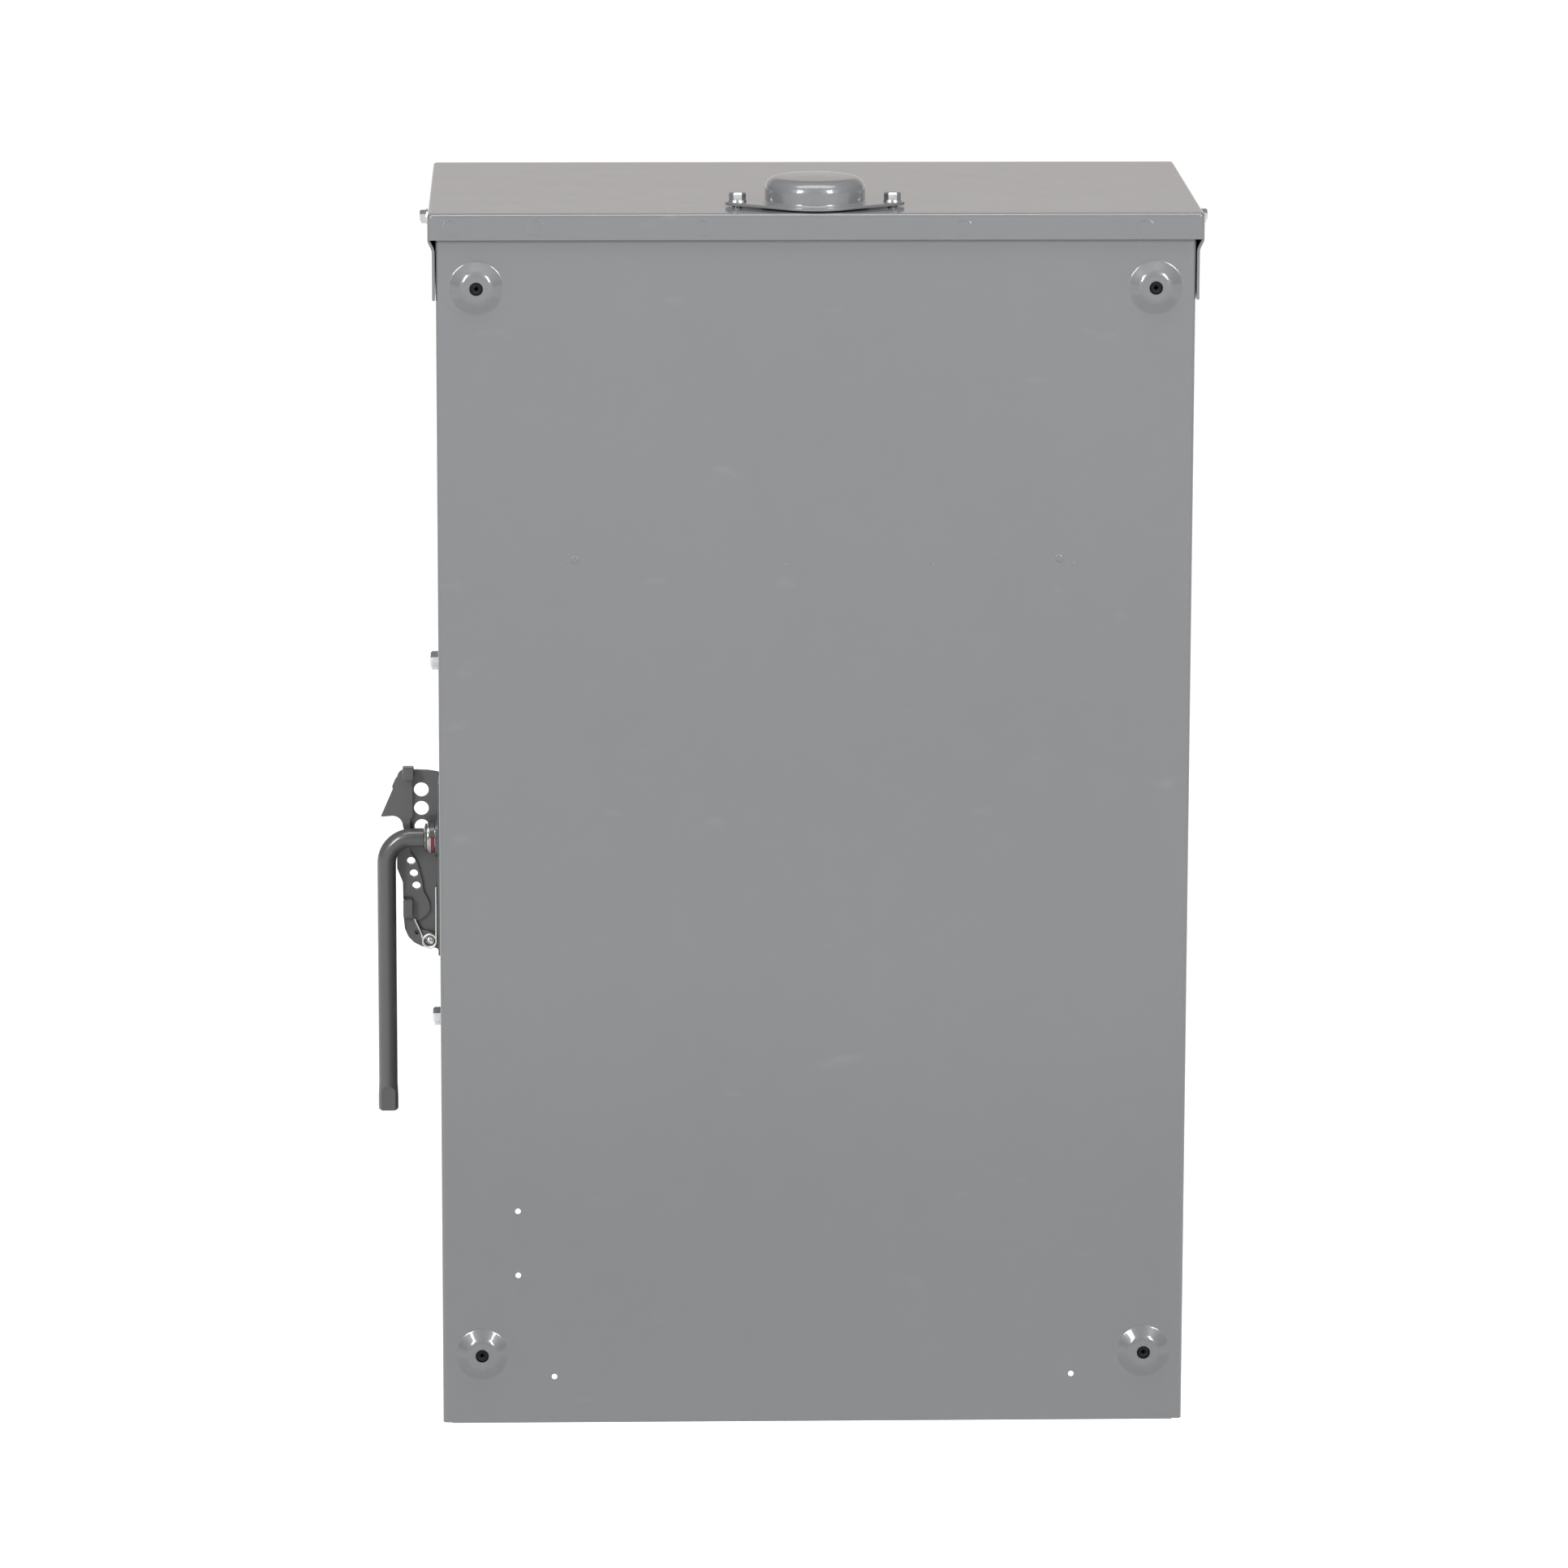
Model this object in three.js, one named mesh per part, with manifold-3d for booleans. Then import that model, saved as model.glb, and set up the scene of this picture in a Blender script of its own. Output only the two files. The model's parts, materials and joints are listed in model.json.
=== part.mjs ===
// Rainproof enclosed safety switch: a wall cabinet with a drip hood, a side handle with a
// spring-loaded lock lever, a hinged door and a three-pole double-break switch inside.
// Millimetres, +Z up. The wall is the plane Y = 0, the door faces -Y, and the origin is the
// centre of the four wall-mounting holes.
import * as THREE from 'three';
import { mergeVertices } from 'three/addons/utils/BufferGeometryUtils.js';
import Module from 'manifold-3d';

const wasm = await Module();
wasm.setup();

// ---------------------------------------------------------------- driving dimensions
const gap = 0.3; // between pieces that touch
const runningGap = 0.5; // around shanks and shafts

const bodyWidth = 495.3;
const overallHeight = 815.2; // bottom edge of the side walls to the top of the hood
const bodyDepth = 238; // back panel to the front flanges
const sheet = 1.9;
const bendRadius = 3.2;
const frontFlange = 22; // width of the frame around the door opening
const frontHeader = 36; // height of that frame at the top

const mountInsetSide = 26.4;
const mountInsetBottom = 47.4;
const mountInsetTop = 49;
const mountHoleRadius = 4.25;
const bossHeight = 5.5;
const bossRimRadius = 18.5;
const bossFaceRadius = 10.5;
const spareHoleRadius = 1.85;
const sideKnockout = { radius: 30, rise: 62, depth: 55, proud: 0.7 };

const hoodOverhangSide = 5.25;
const hoodOverhangFront = 25.5;
const hoodRearGap = 1.6;
const hoodFlange = 17.4;
const hoodLeg = 57.5; // hood top to the lower edge of the side legs
const hoodLegGap = 0.4;
const joggleHeight = 8.5;
const hoodBend = 2.6;
const hoodScrewDepth = 49; // back panel to the screws at the hood's sides
const hoodScrewDrop = 8.7;

const hubRadius = 35.3;
const hubHeight = 20;
const hubSheet = 1.6;
const hubEarRadius = 8;
const hubScrewSpan = 101.3;
const hubEarSheet = 2;
const hubGasketThickness = 0.6;
const hubOpeningRadius = 29;
const hubInset = 36; // hood's rear face to the centre of the hub opening

const doorSheet = 1.6;
const doorSideGap = 1.5;
const doorFaceGap = 4.9;
const doorFlange = 22;
const doorDrop = 3; // hood's front lip to the door's upper edge
const hingeInset = 130; // from the door's ends to the hinges and to the door screws
const knuckleRadius = 3.8;
const hingePinRadius = 2.3;
const knuckleLength = 22;
const doorScrewRadius = 3.2;
const doorScrewInset = 11; // side wall to the screws' axis
const doorKnobRadius = 9;

const pivotRise = 373; // side walls' lower edge to the handle's axis
const pivotDepth = 130; // back panel to the handle's axis
const shaftRadius = 8;
const rodRadius = 6.35;
const rodReach = 37.7; // side wall to the centre of the hanging rod
const rodBend = 17.5;
const rodLength = 189.4; // handle's axis to the tip
const lockPlate = 2.4;
const hubWasherRadius = 10.4;
const leverClearance = 1.6; // handle rod to lock lever
const boltSpanUp = 122;
const boltSpanDown = 124;

const poleSpacing = 90;
const firstPoleInset = 92;
const bladeReach = 78;
const bladeWidth = 26;
const bladeThickness = 5;
const bladeOpenAngle = 58; // degrees between OFF and ON
const bladeClearance = 3; // blade tips to the bases behind them
const crossbarSize = 20;
const panStandoff = 12;
const baseThickness = 27.7;
const copperThickness = 4;

// ---------------------------------------------------------------- places worked out
const halfWidth = bodyWidth / 2;
const mountX = halfWidth - mountInsetSide;
const mountZ = (overallHeight - mountInsetBottom - mountInsetTop) / 2;
const bottomZ = -mountZ - mountInsetBottom;
const hoodTopZ = bottomZ + overallHeight;
const backY = -bossHeight;
const frontY = backY - bodyDepth;
const hoodRearY = backY + hoodRearGap + sheet;
const hoodFrontY = frontY - hoodOverhangFront;
const hoodHalf = halfWidth + hoodOverhangSide;
const wallTopZ = hoodTopZ - sheet - 2.5;
const hubY = hoodRearY - hubInset;
const pivotY = backY - pivotDepth;
const pivotZ = bottomZ + pivotRise;
const rodX = halfWidth + rodReach;
const doorHalf = halfWidth + doorSideGap + doorSheet;
const doorFaceY = frontY - doorFaceGap - doorSheet;
const doorTopZ = hoodTopZ - hoodFlange - doorDrop;
const doorBottomZ = bottomZ - sheet - 4;
const hingeX = -doorHalf - knuckleRadius + 0.05;
const hingeY = doorFaceY + doorFlange + 2;
const innerX = halfWidth - sheet; // inner face of a side wall
const innerBackY = backY - sheet;
const cheekX = halfWidth - 62; // inner cheek of the mechanism frame
const panY = innerBackY - panStandoff - 2; // front face of the back pan
const baseY = panY - gap - baseThickness; // front face of the insulating bases
const poleX = [0, 1, 2].map((pole) => -halfWidth + firstPoleInset + pole * poleSpacing);
const bladeTip = Math.hypot(bladeReach, bladeWidth / 2); // axis to a blade's corner
const hingeZ = { upper: doorTopZ - hingeInset, lower: doorBottomZ + hingeInset };
const doorScrewX = halfWidth - doorScrewInset;
const hoodScrewY = backY - hoodScrewDepth;
const hoodScrewZ = hoodTopZ - hoodScrewDrop;

// ---------------------------------------------------------------- materials
function finish(color, roughness, metalness) {
  return new THREE.MeshStandardMaterial({ color, roughness, metalness });
}
const paint = finish(0x8b8d90, 0.5, 0);
const leverPaint = finish(0x6d6e70, 0.5, 0);
const zinc = finish(0xc9cccf, 0.35, 1);
const galvanized = finish(0xa9adb0, 0.5, 1);
const rubber = finish(0x17181a, 0.8, 0);
const copper = finish(0xc98a63, 0.35, 1);
const aluminium = finish(0xc4c6c8, 0.4, 1);
const insulator = finish(0x2c2d30, 0.55, 0);
const chuteBoard = finish(0xb9b3a2, 0.75, 0);
const redPlastic = finish(0xa3282c, 0.45, 0);

// ---------------------------------------------------------------- solid helpers
function solid(geometry) {
  geometry.deleteAttribute('normal');
  geometry.deleteAttribute('uv');
  const merged = mergeVertices(geometry, 1e-4);
  const vertProperties = new Float32Array(merged.attributes.position.array);
  const whole = [];
  const index = merged.index.array;
  for (let i = 0; i < index.length; i += 3) {
    const [a, b, c] = index.slice(i, i + 3);
    if (a !== b && b !== c && c !== a) whole.push(a, b, c);
  }
  const build = (corners) =>
    new wasm.Manifold(
      new wasm.Mesh({ numProp: 3, vertProperties, triVerts: new Uint32Array(corners) }),
    );
  const made = build(whole);
  // a lathe profile drawn the other way round gives faces that point inwards
  return made.volume() < 0 ? build(whole.reverse()) : made;
}

const join = (...solids) => solids.reduce((sum, next) => sum.add(next));
const cut = (body, ...tools) => tools.reduce((rest, tool) => rest.subtract(tool), body);

function block(x, y, z) {
  const size = [x, y, z].map(([low, high]) => Math.abs(high - low));
  const middle = [x, y, z].map(([low, high]) => (low + high) / 2);
  return solid(new THREE.BoxGeometry(...size).translate(...middle));
}

// Turns a shape's own axis (+Y of the three.js cylinder or lathe) onto a world axis.
const alongAxis = {
  x: new THREE.Matrix4().makeRotationZ(-Math.PI / 2),
  y: new THREE.Matrix4(),
  z: new THREE.Matrix4().makeRotationX(Math.PI / 2),
};

function bar(axis, centre, radius, length, sides = 16) {
  const geometry = new THREE.CylinderGeometry(radius, radius, length, sides);
  return solid(geometry.applyMatrix4(alongAxis[axis]).translate(...centre));
}

// profile: [radius, height] pairs; the height runs along the world axis from the centre.
function turned(axis, centre, profile, sides = 24) {
  const points = profile.map(([radius, height]) => new THREE.Vector2(radius, height));
  const geometry = new THREE.LatheGeometry(points, sides);
  return solid(geometry.applyMatrix4(alongAxis[axis]).translate(...centre));
}

function tubeRing(axis, centre, outer, inner, length, sides = 24) {
  const ends = [-length / 2, length / 2];
  const profile = [
    [inner, ends[0]],
    [outer, ends[0]],
    [outer, ends[1]],
    [inner, ends[1]],
    [inner, ends[0]],
  ];
  return turned(axis, centre, profile, sides);
}

function outline(points) {
  return new THREE.Shape(points.map(([a, b]) => new THREE.Vector2(a, b)));
}

function roundedRectangle([x0, x1], [y0, y1], radius) {
  const shape = new THREE.Shape();
  shape.absarc(x1 - radius, y1 - radius, radius, 0, Math.PI / 2);
  shape.absarc(x0 + radius, y1 - radius, radius, Math.PI / 2, Math.PI);
  shape.absarc(x0 + radius, y0 + radius, radius, Math.PI, 1.5 * Math.PI);
  shape.absarc(x1 - radius, y0 + radius, radius, 1.5 * Math.PI, 2 * Math.PI);
  return shape;
}

// Extrusions of a flat shape: its two axes and its thickness become the world axes named.
function slabXY(shape, [z0, z1], segments = 3) {
  const options = { depth: z1 - z0, bevelEnabled: false, curveSegments: segments };
  return solid(new THREE.ExtrudeGeometry(shape, options).translate(0, 0, z0));
}

function slabXZ(shape, [y0, y1], segments = 3) {
  const options = { depth: y1 - y0, bevelEnabled: false, curveSegments: segments };
  const geometry = new THREE.ExtrudeGeometry(shape, options);
  return solid(geometry.rotateX(Math.PI / 2).translate(0, y1, 0));
}

function sweep(path, radius, steps, sides) {
  const section = outline(
    [...Array(sides).keys()].map((side) => {
      const angle = ((side + 0.5) / sides) * 2 * Math.PI;
      return [radius * Math.cos(angle), radius * Math.sin(angle)];
    }),
  );
  const options = { steps, extrudePath: path, bevelEnabled: false };
  return solid(new THREE.ExtrudeGeometry(section, options));
}

const assembly = new THREE.Group();

function place(name, manifold, material) {
  const { vertProperties, triVerts } = manifold.getMesh();
  const geometry = new THREE.BufferGeometry();
  geometry.setAttribute('position', new THREE.BufferAttribute(vertProperties, 3));
  geometry.setIndex(new THREE.BufferAttribute(triVerts, 1));
  geometry.computeVertexNormals();
  const mesh = new THREE.Mesh(geometry, material);
  mesh.name = name;
  assembly.add(mesh);
}

// ---------------------------------------------------------------- fasteners
const hexHead = (axis, centre, acrossFlats, height) =>
  bar(axis, centre, acrossFlats / Math.sqrt(3), height, 6);

// A hex-washer-head screw whose seat is at the centre; its head points along direction.
function hexWasherScrew(axis, seat, direction, { flats, flange, head, shank, length }) {
  const at = (offset) => {
    const centre = [...seat];
    centre['xyz'.indexOf(axis)] += direction * offset;
    return centre;
  };
  return join(
    bar(axis, at(0.6 + gap), flange / 2, 1.2, 16),
    hexHead(axis, at(gap + 1.1 + head / 2), flats, head),
    bar(axis, at(gap + 0.1 - length / 2), shank, length, 10),
  );
}

// ---------------------------------------------------------------- cabinet
function mountPoints() {
  return [
    ['upper_right', mountX, mountZ],
    ['upper_left', -mountX, mountZ],
    ['lower_right', mountX, -mountZ],
    ['lower_left', -mountX, -mountZ],
  ];
}

// The boss rises from its rim to its face on half a cosine wave.
function bossProfile(rim, face, height, foot) {
  const steps = 4;
  const wave = [...Array(steps + 1).keys()].map((step) => {
    const share = step / steps;
    const rise = (height * (1 - Math.cos(Math.PI * share))) / 2;
    return [rim + (face - rim) * share, rise];
  });
  return [[0, foot], [rim, foot], ...wave, [0, height]];
}

// Small holes in the back panel for the ground and neutral kits.
function spareHoles() {
  const sideX = halfWidth - 50.7;
  const lowX = halfWidth - 74.6;
  return [
    [sideX, bottomZ + 146],
    [sideX, bottomZ + 101.8],
    [lowX, bottomZ + 31.6],
    [-lowX, bottomZ + 31.6],
  ];
}

function buildBody() {
  const wall = [bottomZ, wallTopZ];
  const xs = [-halfWidth, halfWidth];
  const ys = [frontY, backY];
  const inside = [-innerX, innerX];
  const depthInside = [frontY + sheet, innerBackY];
  let body = slabXY(roundedRectangle(xs, ys, bendRadius), wall, 4);
  const hollow = roundedRectangle(inside, depthInside, bendRadius - sheet);
  body = cut(body, slabXY(hollow, [bottomZ - 1, wallTopZ + 1], 2));
  const window = block(
    [-halfWidth + frontFlange, halfWidth - frontFlange],
    [frontY - 1, frontY + sheet + 1],
    [bottomZ + frontFlange, hoodTopZ - frontHeader],
  );
  body = cut(body, window);
  for (const [, x, z] of mountPoints()) {
    const outer = bossProfile(bossRimRadius, bossFaceRadius, bossHeight, -0.5);
    const inner = bossProfile(bossRimRadius - 1, bossFaceRadius - 1, bossHeight, -3);
    body = body.add(turned('y', [x, backY, z], outer, 20));
    body = cut(
      body,
      turned('y', [x, backY - sheet, z], inner, 12),
      bar('y', [x, backY, z], mountHoleRadius, 30, 14),
    );
  }
  for (const [x, z] of spareHoles()) {
    body = body.subtract(bar('y', [x, backY, z], spareHoleRadius, 10, 8));
  }
  const knockoutX = -halfWidth + sheet / 2 - sideKnockout.proud;
  const knockoutPlace = [knockoutX, backY - sideKnockout.depth, bottomZ + sideKnockout.rise];
  body = body.add(bar('x', knockoutPlace, sideKnockout.radius, sheet, 24));
  const shaftHole = bar('x', [halfWidth, pivotY, pivotZ], shaftRadius + runningGap, 20, 20);
  const boltHoles = [pivotZ + boltSpanUp, pivotZ - boltSpanDown].map((z) =>
    bar('x', [halfWidth, pivotY, z], 3.5, 20, 12),
  );
  const hoodHoles = bar('x', [0, hoodScrewY, hoodScrewZ], 2.9, bodyWidth + 10, 12);
  const doorHoles = Object.values(hingeZ).map((z) =>
    bar('y', [doorScrewX, frontY, z], doorScrewRadius + runningGap, 20, 16),
  );
  body = cut(body, shaftHole, ...boltHoles, hoodHoles, ...doorHoles);
  place('body_shell', body, paint);
}

function buildBottomWall() {
  const half = halfWidth - 6;
  const ys = [frontY + 8, backY - 6];
  const top = bottomZ - gap;
  let wall = block([-half, half], ys, [top - sheet, top]);
  for (const side of [-1, 1]) {
    const leg = [side * half, side * (half - sheet)].sort((a, b) => a - b);
    wall = wall.add(block(leg, ys, [top - 0.1, top + 16]));
  }
  for (const [x, radius] of [[-half * 0.52, 38], [half * 0.52, 38], [0, 30]]) {
    const centre = [x, (ys[0] + ys[1]) / 2, top - sheet / 2 - 0.7];
    wall = wall.add(bar('z', centre, radius, sheet, 24));
  }
  place('bottom_wall', wall, paint);
}

function buildHood() {
  const xs = [-hoodHalf, hoodHalf];
  const ys = [hoodFrontY, hoodRearY];
  const lower = hoodTopZ - hoodFlange;
  const inset = hoodBend;
  const core = roundedRectangle(
    [xs[0] + inset, xs[1] - inset],
    [ys[0] + inset, ys[1] - inset],
    0.6,
  );
  const rounded = new THREE.ExtrudeGeometry(core, {
    depth: 40,
    bevelThickness: inset,
    bevelSize: inset,
    bevelSegments: 3,
    curveSegments: 3,
  }).translate(0, 0, hoodTopZ - inset - 40);
  let hood = solid(rounded);
  hood = cut(
    hood,
    block([-hoodHalf - 5, hoodHalf + 5], [ys[0] - 5, ys[1] + 5], [hoodTopZ - 60, lower]),
  );
  const cavity = roundedRectangle(
    [xs[0] + sheet, xs[1] - sheet],
    [ys[0] + sheet, ys[1] - sheet],
    1.3,
  );
  hood = cut(hood, slabXY(cavity, [lower - 1, hoodTopZ - sheet], 2));
  const legInner = halfWidth + hoodLegGap;
  const legOuter = legInner + sheet + 0.1;
  for (const side of [-1, 1]) {
    const leg = outline([
      [side * hoodHalf, lower + 1],
      [side * hoodHalf, lower],
      [side * legOuter, lower - joggleHeight],
      [side * legOuter, hoodTopZ - hoodLeg],
      [side * legInner, hoodTopZ - hoodLeg],
      [side * legInner, lower - joggleHeight + 1],
      [side * (hoodHalf - sheet), lower + 1],
    ]);
    hood = hood.add(slabXZ(leg, [frontY + 20, hoodRearY - 4]));
    const shankRoom = [side * hoodHalf, hoodScrewY, hoodScrewZ];
    hood = cut(hood, bar('x', shankRoom, 2.9, 12, 12));
    const hubScrewRoom = [(side * hubScrewSpan) / 2, hubY, hoodTopZ];
    hood = cut(hood, bar('z', hubScrewRoom, 3.5, 12, 12));
  }
  hood = cut(hood, bar('z', [0, hubY, hoodTopZ], hubOpeningRadius, 12, 24));
  place('rain_hood', hood, paint);
}

// A round disc with two tapered ears: tangent lines join the disc to each ear's end.
function earedOutline(disc, ear, span) {
  const lean = Math.acos((disc - ear) / span);
  const shape = new THREE.Shape();
  shape.absarc(span, 0, ear, -lean, lean);
  shape.absarc(0, 0, disc, lean, Math.PI - lean);
  shape.absarc(-span, 0, ear, Math.PI - lean, Math.PI + lean);
  shape.absarc(0, 0, disc, Math.PI + lean, 2 * Math.PI - lean);
  return shape;
}

function buildHub() {
  const gasketZ = hoodTopZ + gap + hubGasketThickness / 2;
  const seat = hoodTopZ + 2 * gap + hubGasketThickness;
  const crown = hoodTopZ + hubHeight - seat;
  const rim = 7;
  const arc = [0, 1, 2, 3].map((step) => {
    const angle = (step / 3) * (Math.PI / 2);
    return [rim * Math.cos(angle), rim * Math.sin(angle)];
  });
  const dome = (radius, height) => [
    [0, 0],
    [radius, 0],
    ...arc.map(([out, up]) => [radius - rim + out, height - rim + up]),
    [0, height + 0.6],
  ];
  const centre = [0, hubY, seat];
  let cap = turned('z', centre, dome(hubRadius, crown), 28);
  const ears = slabXY(
    earedOutline(hubRadius - 1, hubEarRadius, hubScrewSpan / 2),
    [seat, seat + hubEarSheet],
    6,
  ).translate([0, hubY, 0]);
  cap = join(cap, ears);
  const hollow = dome(hubRadius - hubSheet, crown - hubSheet);
  cap = cut(cap, turned('z', [0, hubY, seat - 0.01], hollow, 20));
  for (const side of [-1, 1]) {
    const centreOfScrew = [(side * hubScrewSpan) / 2, hubY, hoodTopZ];
    cap = cut(cap, bar('z', centreOfScrew, 3.5, 20, 12));
    const seatOfScrew = [centreOfScrew[0], hubY, seat + hubEarSheet];
    const screw = { flats: 9.53, flange: 12.4, head: 4.6, shank: 3, length: 14 };
    const name = side > 0 ? 'hub_screw_right' : 'hub_screw_left';
    place(name, hexWasherScrew('z', seatOfScrew, 1, screw), zinc);
  }
  place('hub_cap', cap, paint);
  const gasketRing = [hubRadius - 0.6, hubOpeningRadius + 1, hubGasketThickness];
  place('hub_gasket', tubeRing('z', [0, hubY, gasketZ], ...gasketRing, 24), rubber);
}

function buildTrim() {
  for (const [where, x, z] of mountPoints()) {
    const nose = mountHoleRadius - gap;
    const seat = -sheet - gap;
    const profile = [
      [1.5, -0.7],
      [nose, -0.7],
      [nose, seat],
      [7, seat],
      [7, seat - 2.4],
      [1.5, seat - 2.4],
      [1.5, -0.7],
    ];
    place(`grommet_${where}`, turned('y', [x, 0, z], profile, 12), rubber);
  }
  const screw = { flats: 7.94, flange: 10.5, head: 4.4, shank: 2.4, length: 14 };
  for (const side of [-1, 1]) {
    const seat = [side * hoodHalf, hoodScrewY, hoodScrewZ];
    const name = side > 0 ? 'hood_screw_right' : 'hood_screw_left';
    place(name, hexWasherScrew('x', seat, side, screw), zinc);
  }
}

// ---------------------------------------------------------------- door and hinges
function knuckle(z, length) {
  return tubeRing(
    'z',
    [hingeX, hingeY, z],
    knuckleRadius,
    hingePinRadius + runningGap,
    length,
    16,
  );
}

function buildDoor() {
  const rearY = doorFaceY + doorFlange;
  const outer = block([-doorHalf, doorHalf], [doorFaceY, rearY], [doorBottomZ, doorTopZ]);
  const half = doorHalf - doorSheet;
  const faceInside = doorFaceY + doorSheet;
  const hollow = block(
    [-half, half],
    [faceInside, rearY + 1],
    [doorBottomZ + doorSheet, doorTopZ - doorSheet],
  );
  const topRoom = block(
    [-half, half],
    [frontY - 1, rearY + 1],
    [doorTopZ - doorSheet - 1, doorTopZ + 1],
  );
  let door = cut(outer, hollow, topRoom);
  const offset = knuckleLength + 0.5;
  for (const hinge of Object.values(hingeZ)) {
    for (const z of [hinge - offset, hinge + offset]) {
      const strap = block(
        [hingeX, -doorHalf + 0.5],
        [hingeY - knuckleRadius, hingeY - 1],
        [z - knuckleLength / 2, z + knuckleLength / 2],
      );
      const bore = bar('z', [hingeX, hingeY, z], knuckleRadius - 0.4, knuckleLength + 2);
      door = join(door, cut(strap, bore), knuckle(z, knuckleLength));
    }
  }
  for (const z of Object.values(hingeZ)) {
    const hole = bar('y', [doorScrewX, doorFaceY, z], doorScrewRadius + runningGap, 12, 16);
    door = cut(door, hole);
  }
  place('door', door, paint);
}

function buildHinges() {
  for (const [where, z] of Object.entries(hingeZ)) {
    const span = [z - knuckleLength / 2, z + knuckleLength / 2];
    const leafX = [-halfWidth - gap - 2, -halfWidth - gap];
    const leaf = block(leafX, [hingeY + 3, hingeY + 30], [z - 33, z + 33]);
    const link = block([hingeX, leafX[1]], [hingeY + 2, hingeY + knuckleRadius + 1], span);
    const bore = bar('z', [hingeX, hingeY, z], knuckleRadius - 0.4, knuckleLength + 2);
    const joined = join(leaf, cut(link, bore), knuckle(z, knuckleLength));
    place(`hinge_leaf_${where}`, joined, paint);
    const reach = 1.5 * knuckleLength + 1.5;
    const pin = join(
      bar('z', [hingeX, hingeY, z], hingePinRadius, 2 * reach, 12),
      bar('z', [hingeX, hingeY, z + reach + 0.7], 3.4, 1.8, 12),
    );
    place(`hinge_pin_${where}`, pin, zinc);
  }
}

function buildDoorScrews() {
  for (const [where, z] of Object.entries(hingeZ)) {
    const face = doorFaceY - gap;
    const knob = cut(
      bar('y', [doorScrewX, face - 4.5, z], doorKnobRadius, 9, 24),
      block([doorScrewX - 7.5, doorScrewX + 7.5], [face - 10, face - 7], [z - 1, z + 1]),
    );
    const shank = bar('y', [doorScrewX, face + 5.9, z], doorScrewRadius, 12, 12);
    place(`door_screw_${where}`, join(knob, shank), zinc);
  }
}

// ---------------------------------------------------------------- handle and lock lever
// Positions on the side of the cabinet: out from the side wall, and up from the axis.
const side = (out, up) => [halfWidth + out, pivotZ + up];
const sideOutline = (points) => outline(points.map(([out, up]) => side(out, up)));

const leverRearY = pivotY - rodRadius - leverClearance;
const leverFrontY = leverRearY - lockPlate;
const lockRearY = leverFrontY - 0.4;
const lockFrontY = lockRearY - 2.6;
const leverPivot = [9, -72.7];
const padlockHoles = [[14.1, 30.8], [14.1, 18], [13.8, 5.4]];
const sealHoles = [[21.3, -18.1], [19.5, -26.7], [17.8, -35.2]];

function holesThrough(list, radius, sides) {
  return list.map(([out, up]) => {
    const [x, z] = side(out, up);
    return bar('y', [x, lockRearY, z], radius, 20, sides);
  });
}

function buildHandleBase() {
  const plate = sideOutline([
    [0.3, -83.6], [2.7, -83.4], [3.5, -79.7], [13.7, -75.9], [19, -72.6], [23.4, -66],
    [24.6, -57], [25, -32], [28, -20], [26, -10], [24.5, 5], [26, 20], [33.1, 30.6],
    [33.9, 33], [31.5, 38.5], [27, 43.4], [18.7, 44.6], [9.9, 44.3], [2.5, 43], [0.3, 42],
  ]);
  const flangeY = [lockFrontY, pivotY + 24];
  const [x0, zLow] = side(gap, -83.6);
  const [x1, zHigh] = side(2.7, 42);
  const bearingX = halfWidth + 3.4;
  let base = join(
    slabXZ(plate, [lockFrontY, lockRearY]),
    block([x0, x1], flangeY, [zLow, zHigh]),
    bar('x', [bearingX, pivotY, pivotZ], 13, 2.4, 20),
  );
  base = cut(
    base,
    bar('x', [halfWidth + 3, pivotY, pivotZ], shaftRadius + runningGap, 12, 20),
    ...holesThrough(padlockHoles, 5, 16),
    ...holesThrough(sealHoles, 2.85, 10),
    ...holesThrough([leverPivot], 2.6, 12),
    ...holesThrough([[17.5, -67.4]], 1.6, 10),
  );
  place('handle_base', base, leverPaint);
}

function buildLockLever() {
  const hook = [0, 1, 2, 3, 4].map((step) => {
    const angle = Math.PI * (0.5 + step / 8);
    return [33.7 + 7 * Math.cos(angle), 6.4 + 7 * Math.sin(angle)];
  });
  const boss = [0, 1, 2, 3, 4, 5, 6].map((step) => {
    const angle = Math.PI * (-0.5 - step / 6);
    return [leverPivot[0] + 5.8 * Math.cos(angle), leverPivot[1] + 5.8 * Math.sin(angle)];
  });
  const shape = sideOutline([
    [20, 41.5], [20.6, 43.8], [27, 45], [29.5, 43], [33, 32.6], [41, 14.2], [41.5, 13.2],
    [40.8, 12.8], ...hook, [26.1, 4], [25.1, 1.5], [25.1, -2], [26.4, -5], [28.4, -8.6],
    [30.2, -13], [30.8, -16], [30.8, -23], [27, -32.6], [26.6, -57], [25.9, -64.8],
    [23.5, -70.5], [19.6, -74.6], [14, -77.4], ...boss, [13.6, -66], [18.6, -62],
    [18.2, -59.6], [14.6, -57.9], [10.6, -54.7], [8.6, -50.8], [9.5, -45.7], [13.2, -38.2],
    [14.2, -30], [17.4, -18], [21.8, -12], [21.8, 11],
    [20, 13],
  ]);
  const tab = ([outLow, upLow], [outHigh, upHigh], reach) => {
    const [x0, z0] = side(outLow, upLow);
    const [x1, z1] = side(outHigh, upHigh);
    return block([x0, x1], [leverRearY - 0.5, leverRearY + reach], [z0, z1]);
  };
  const lever = cut(
    join(
      slabXZ(shape, [leverFrontY, leverRearY]),
      tab([20, 38.4], [26.5, 46.8], 8),
      tab([20.2, -56.4], [26.8, -43.3], 6),
    ),
    ...holesThrough(sealHoles, 2.85, 10),
    ...holesThrough([leverPivot], 2.6, 12),
  );
  place('lock_lever', lever, leverPaint);
}

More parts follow.
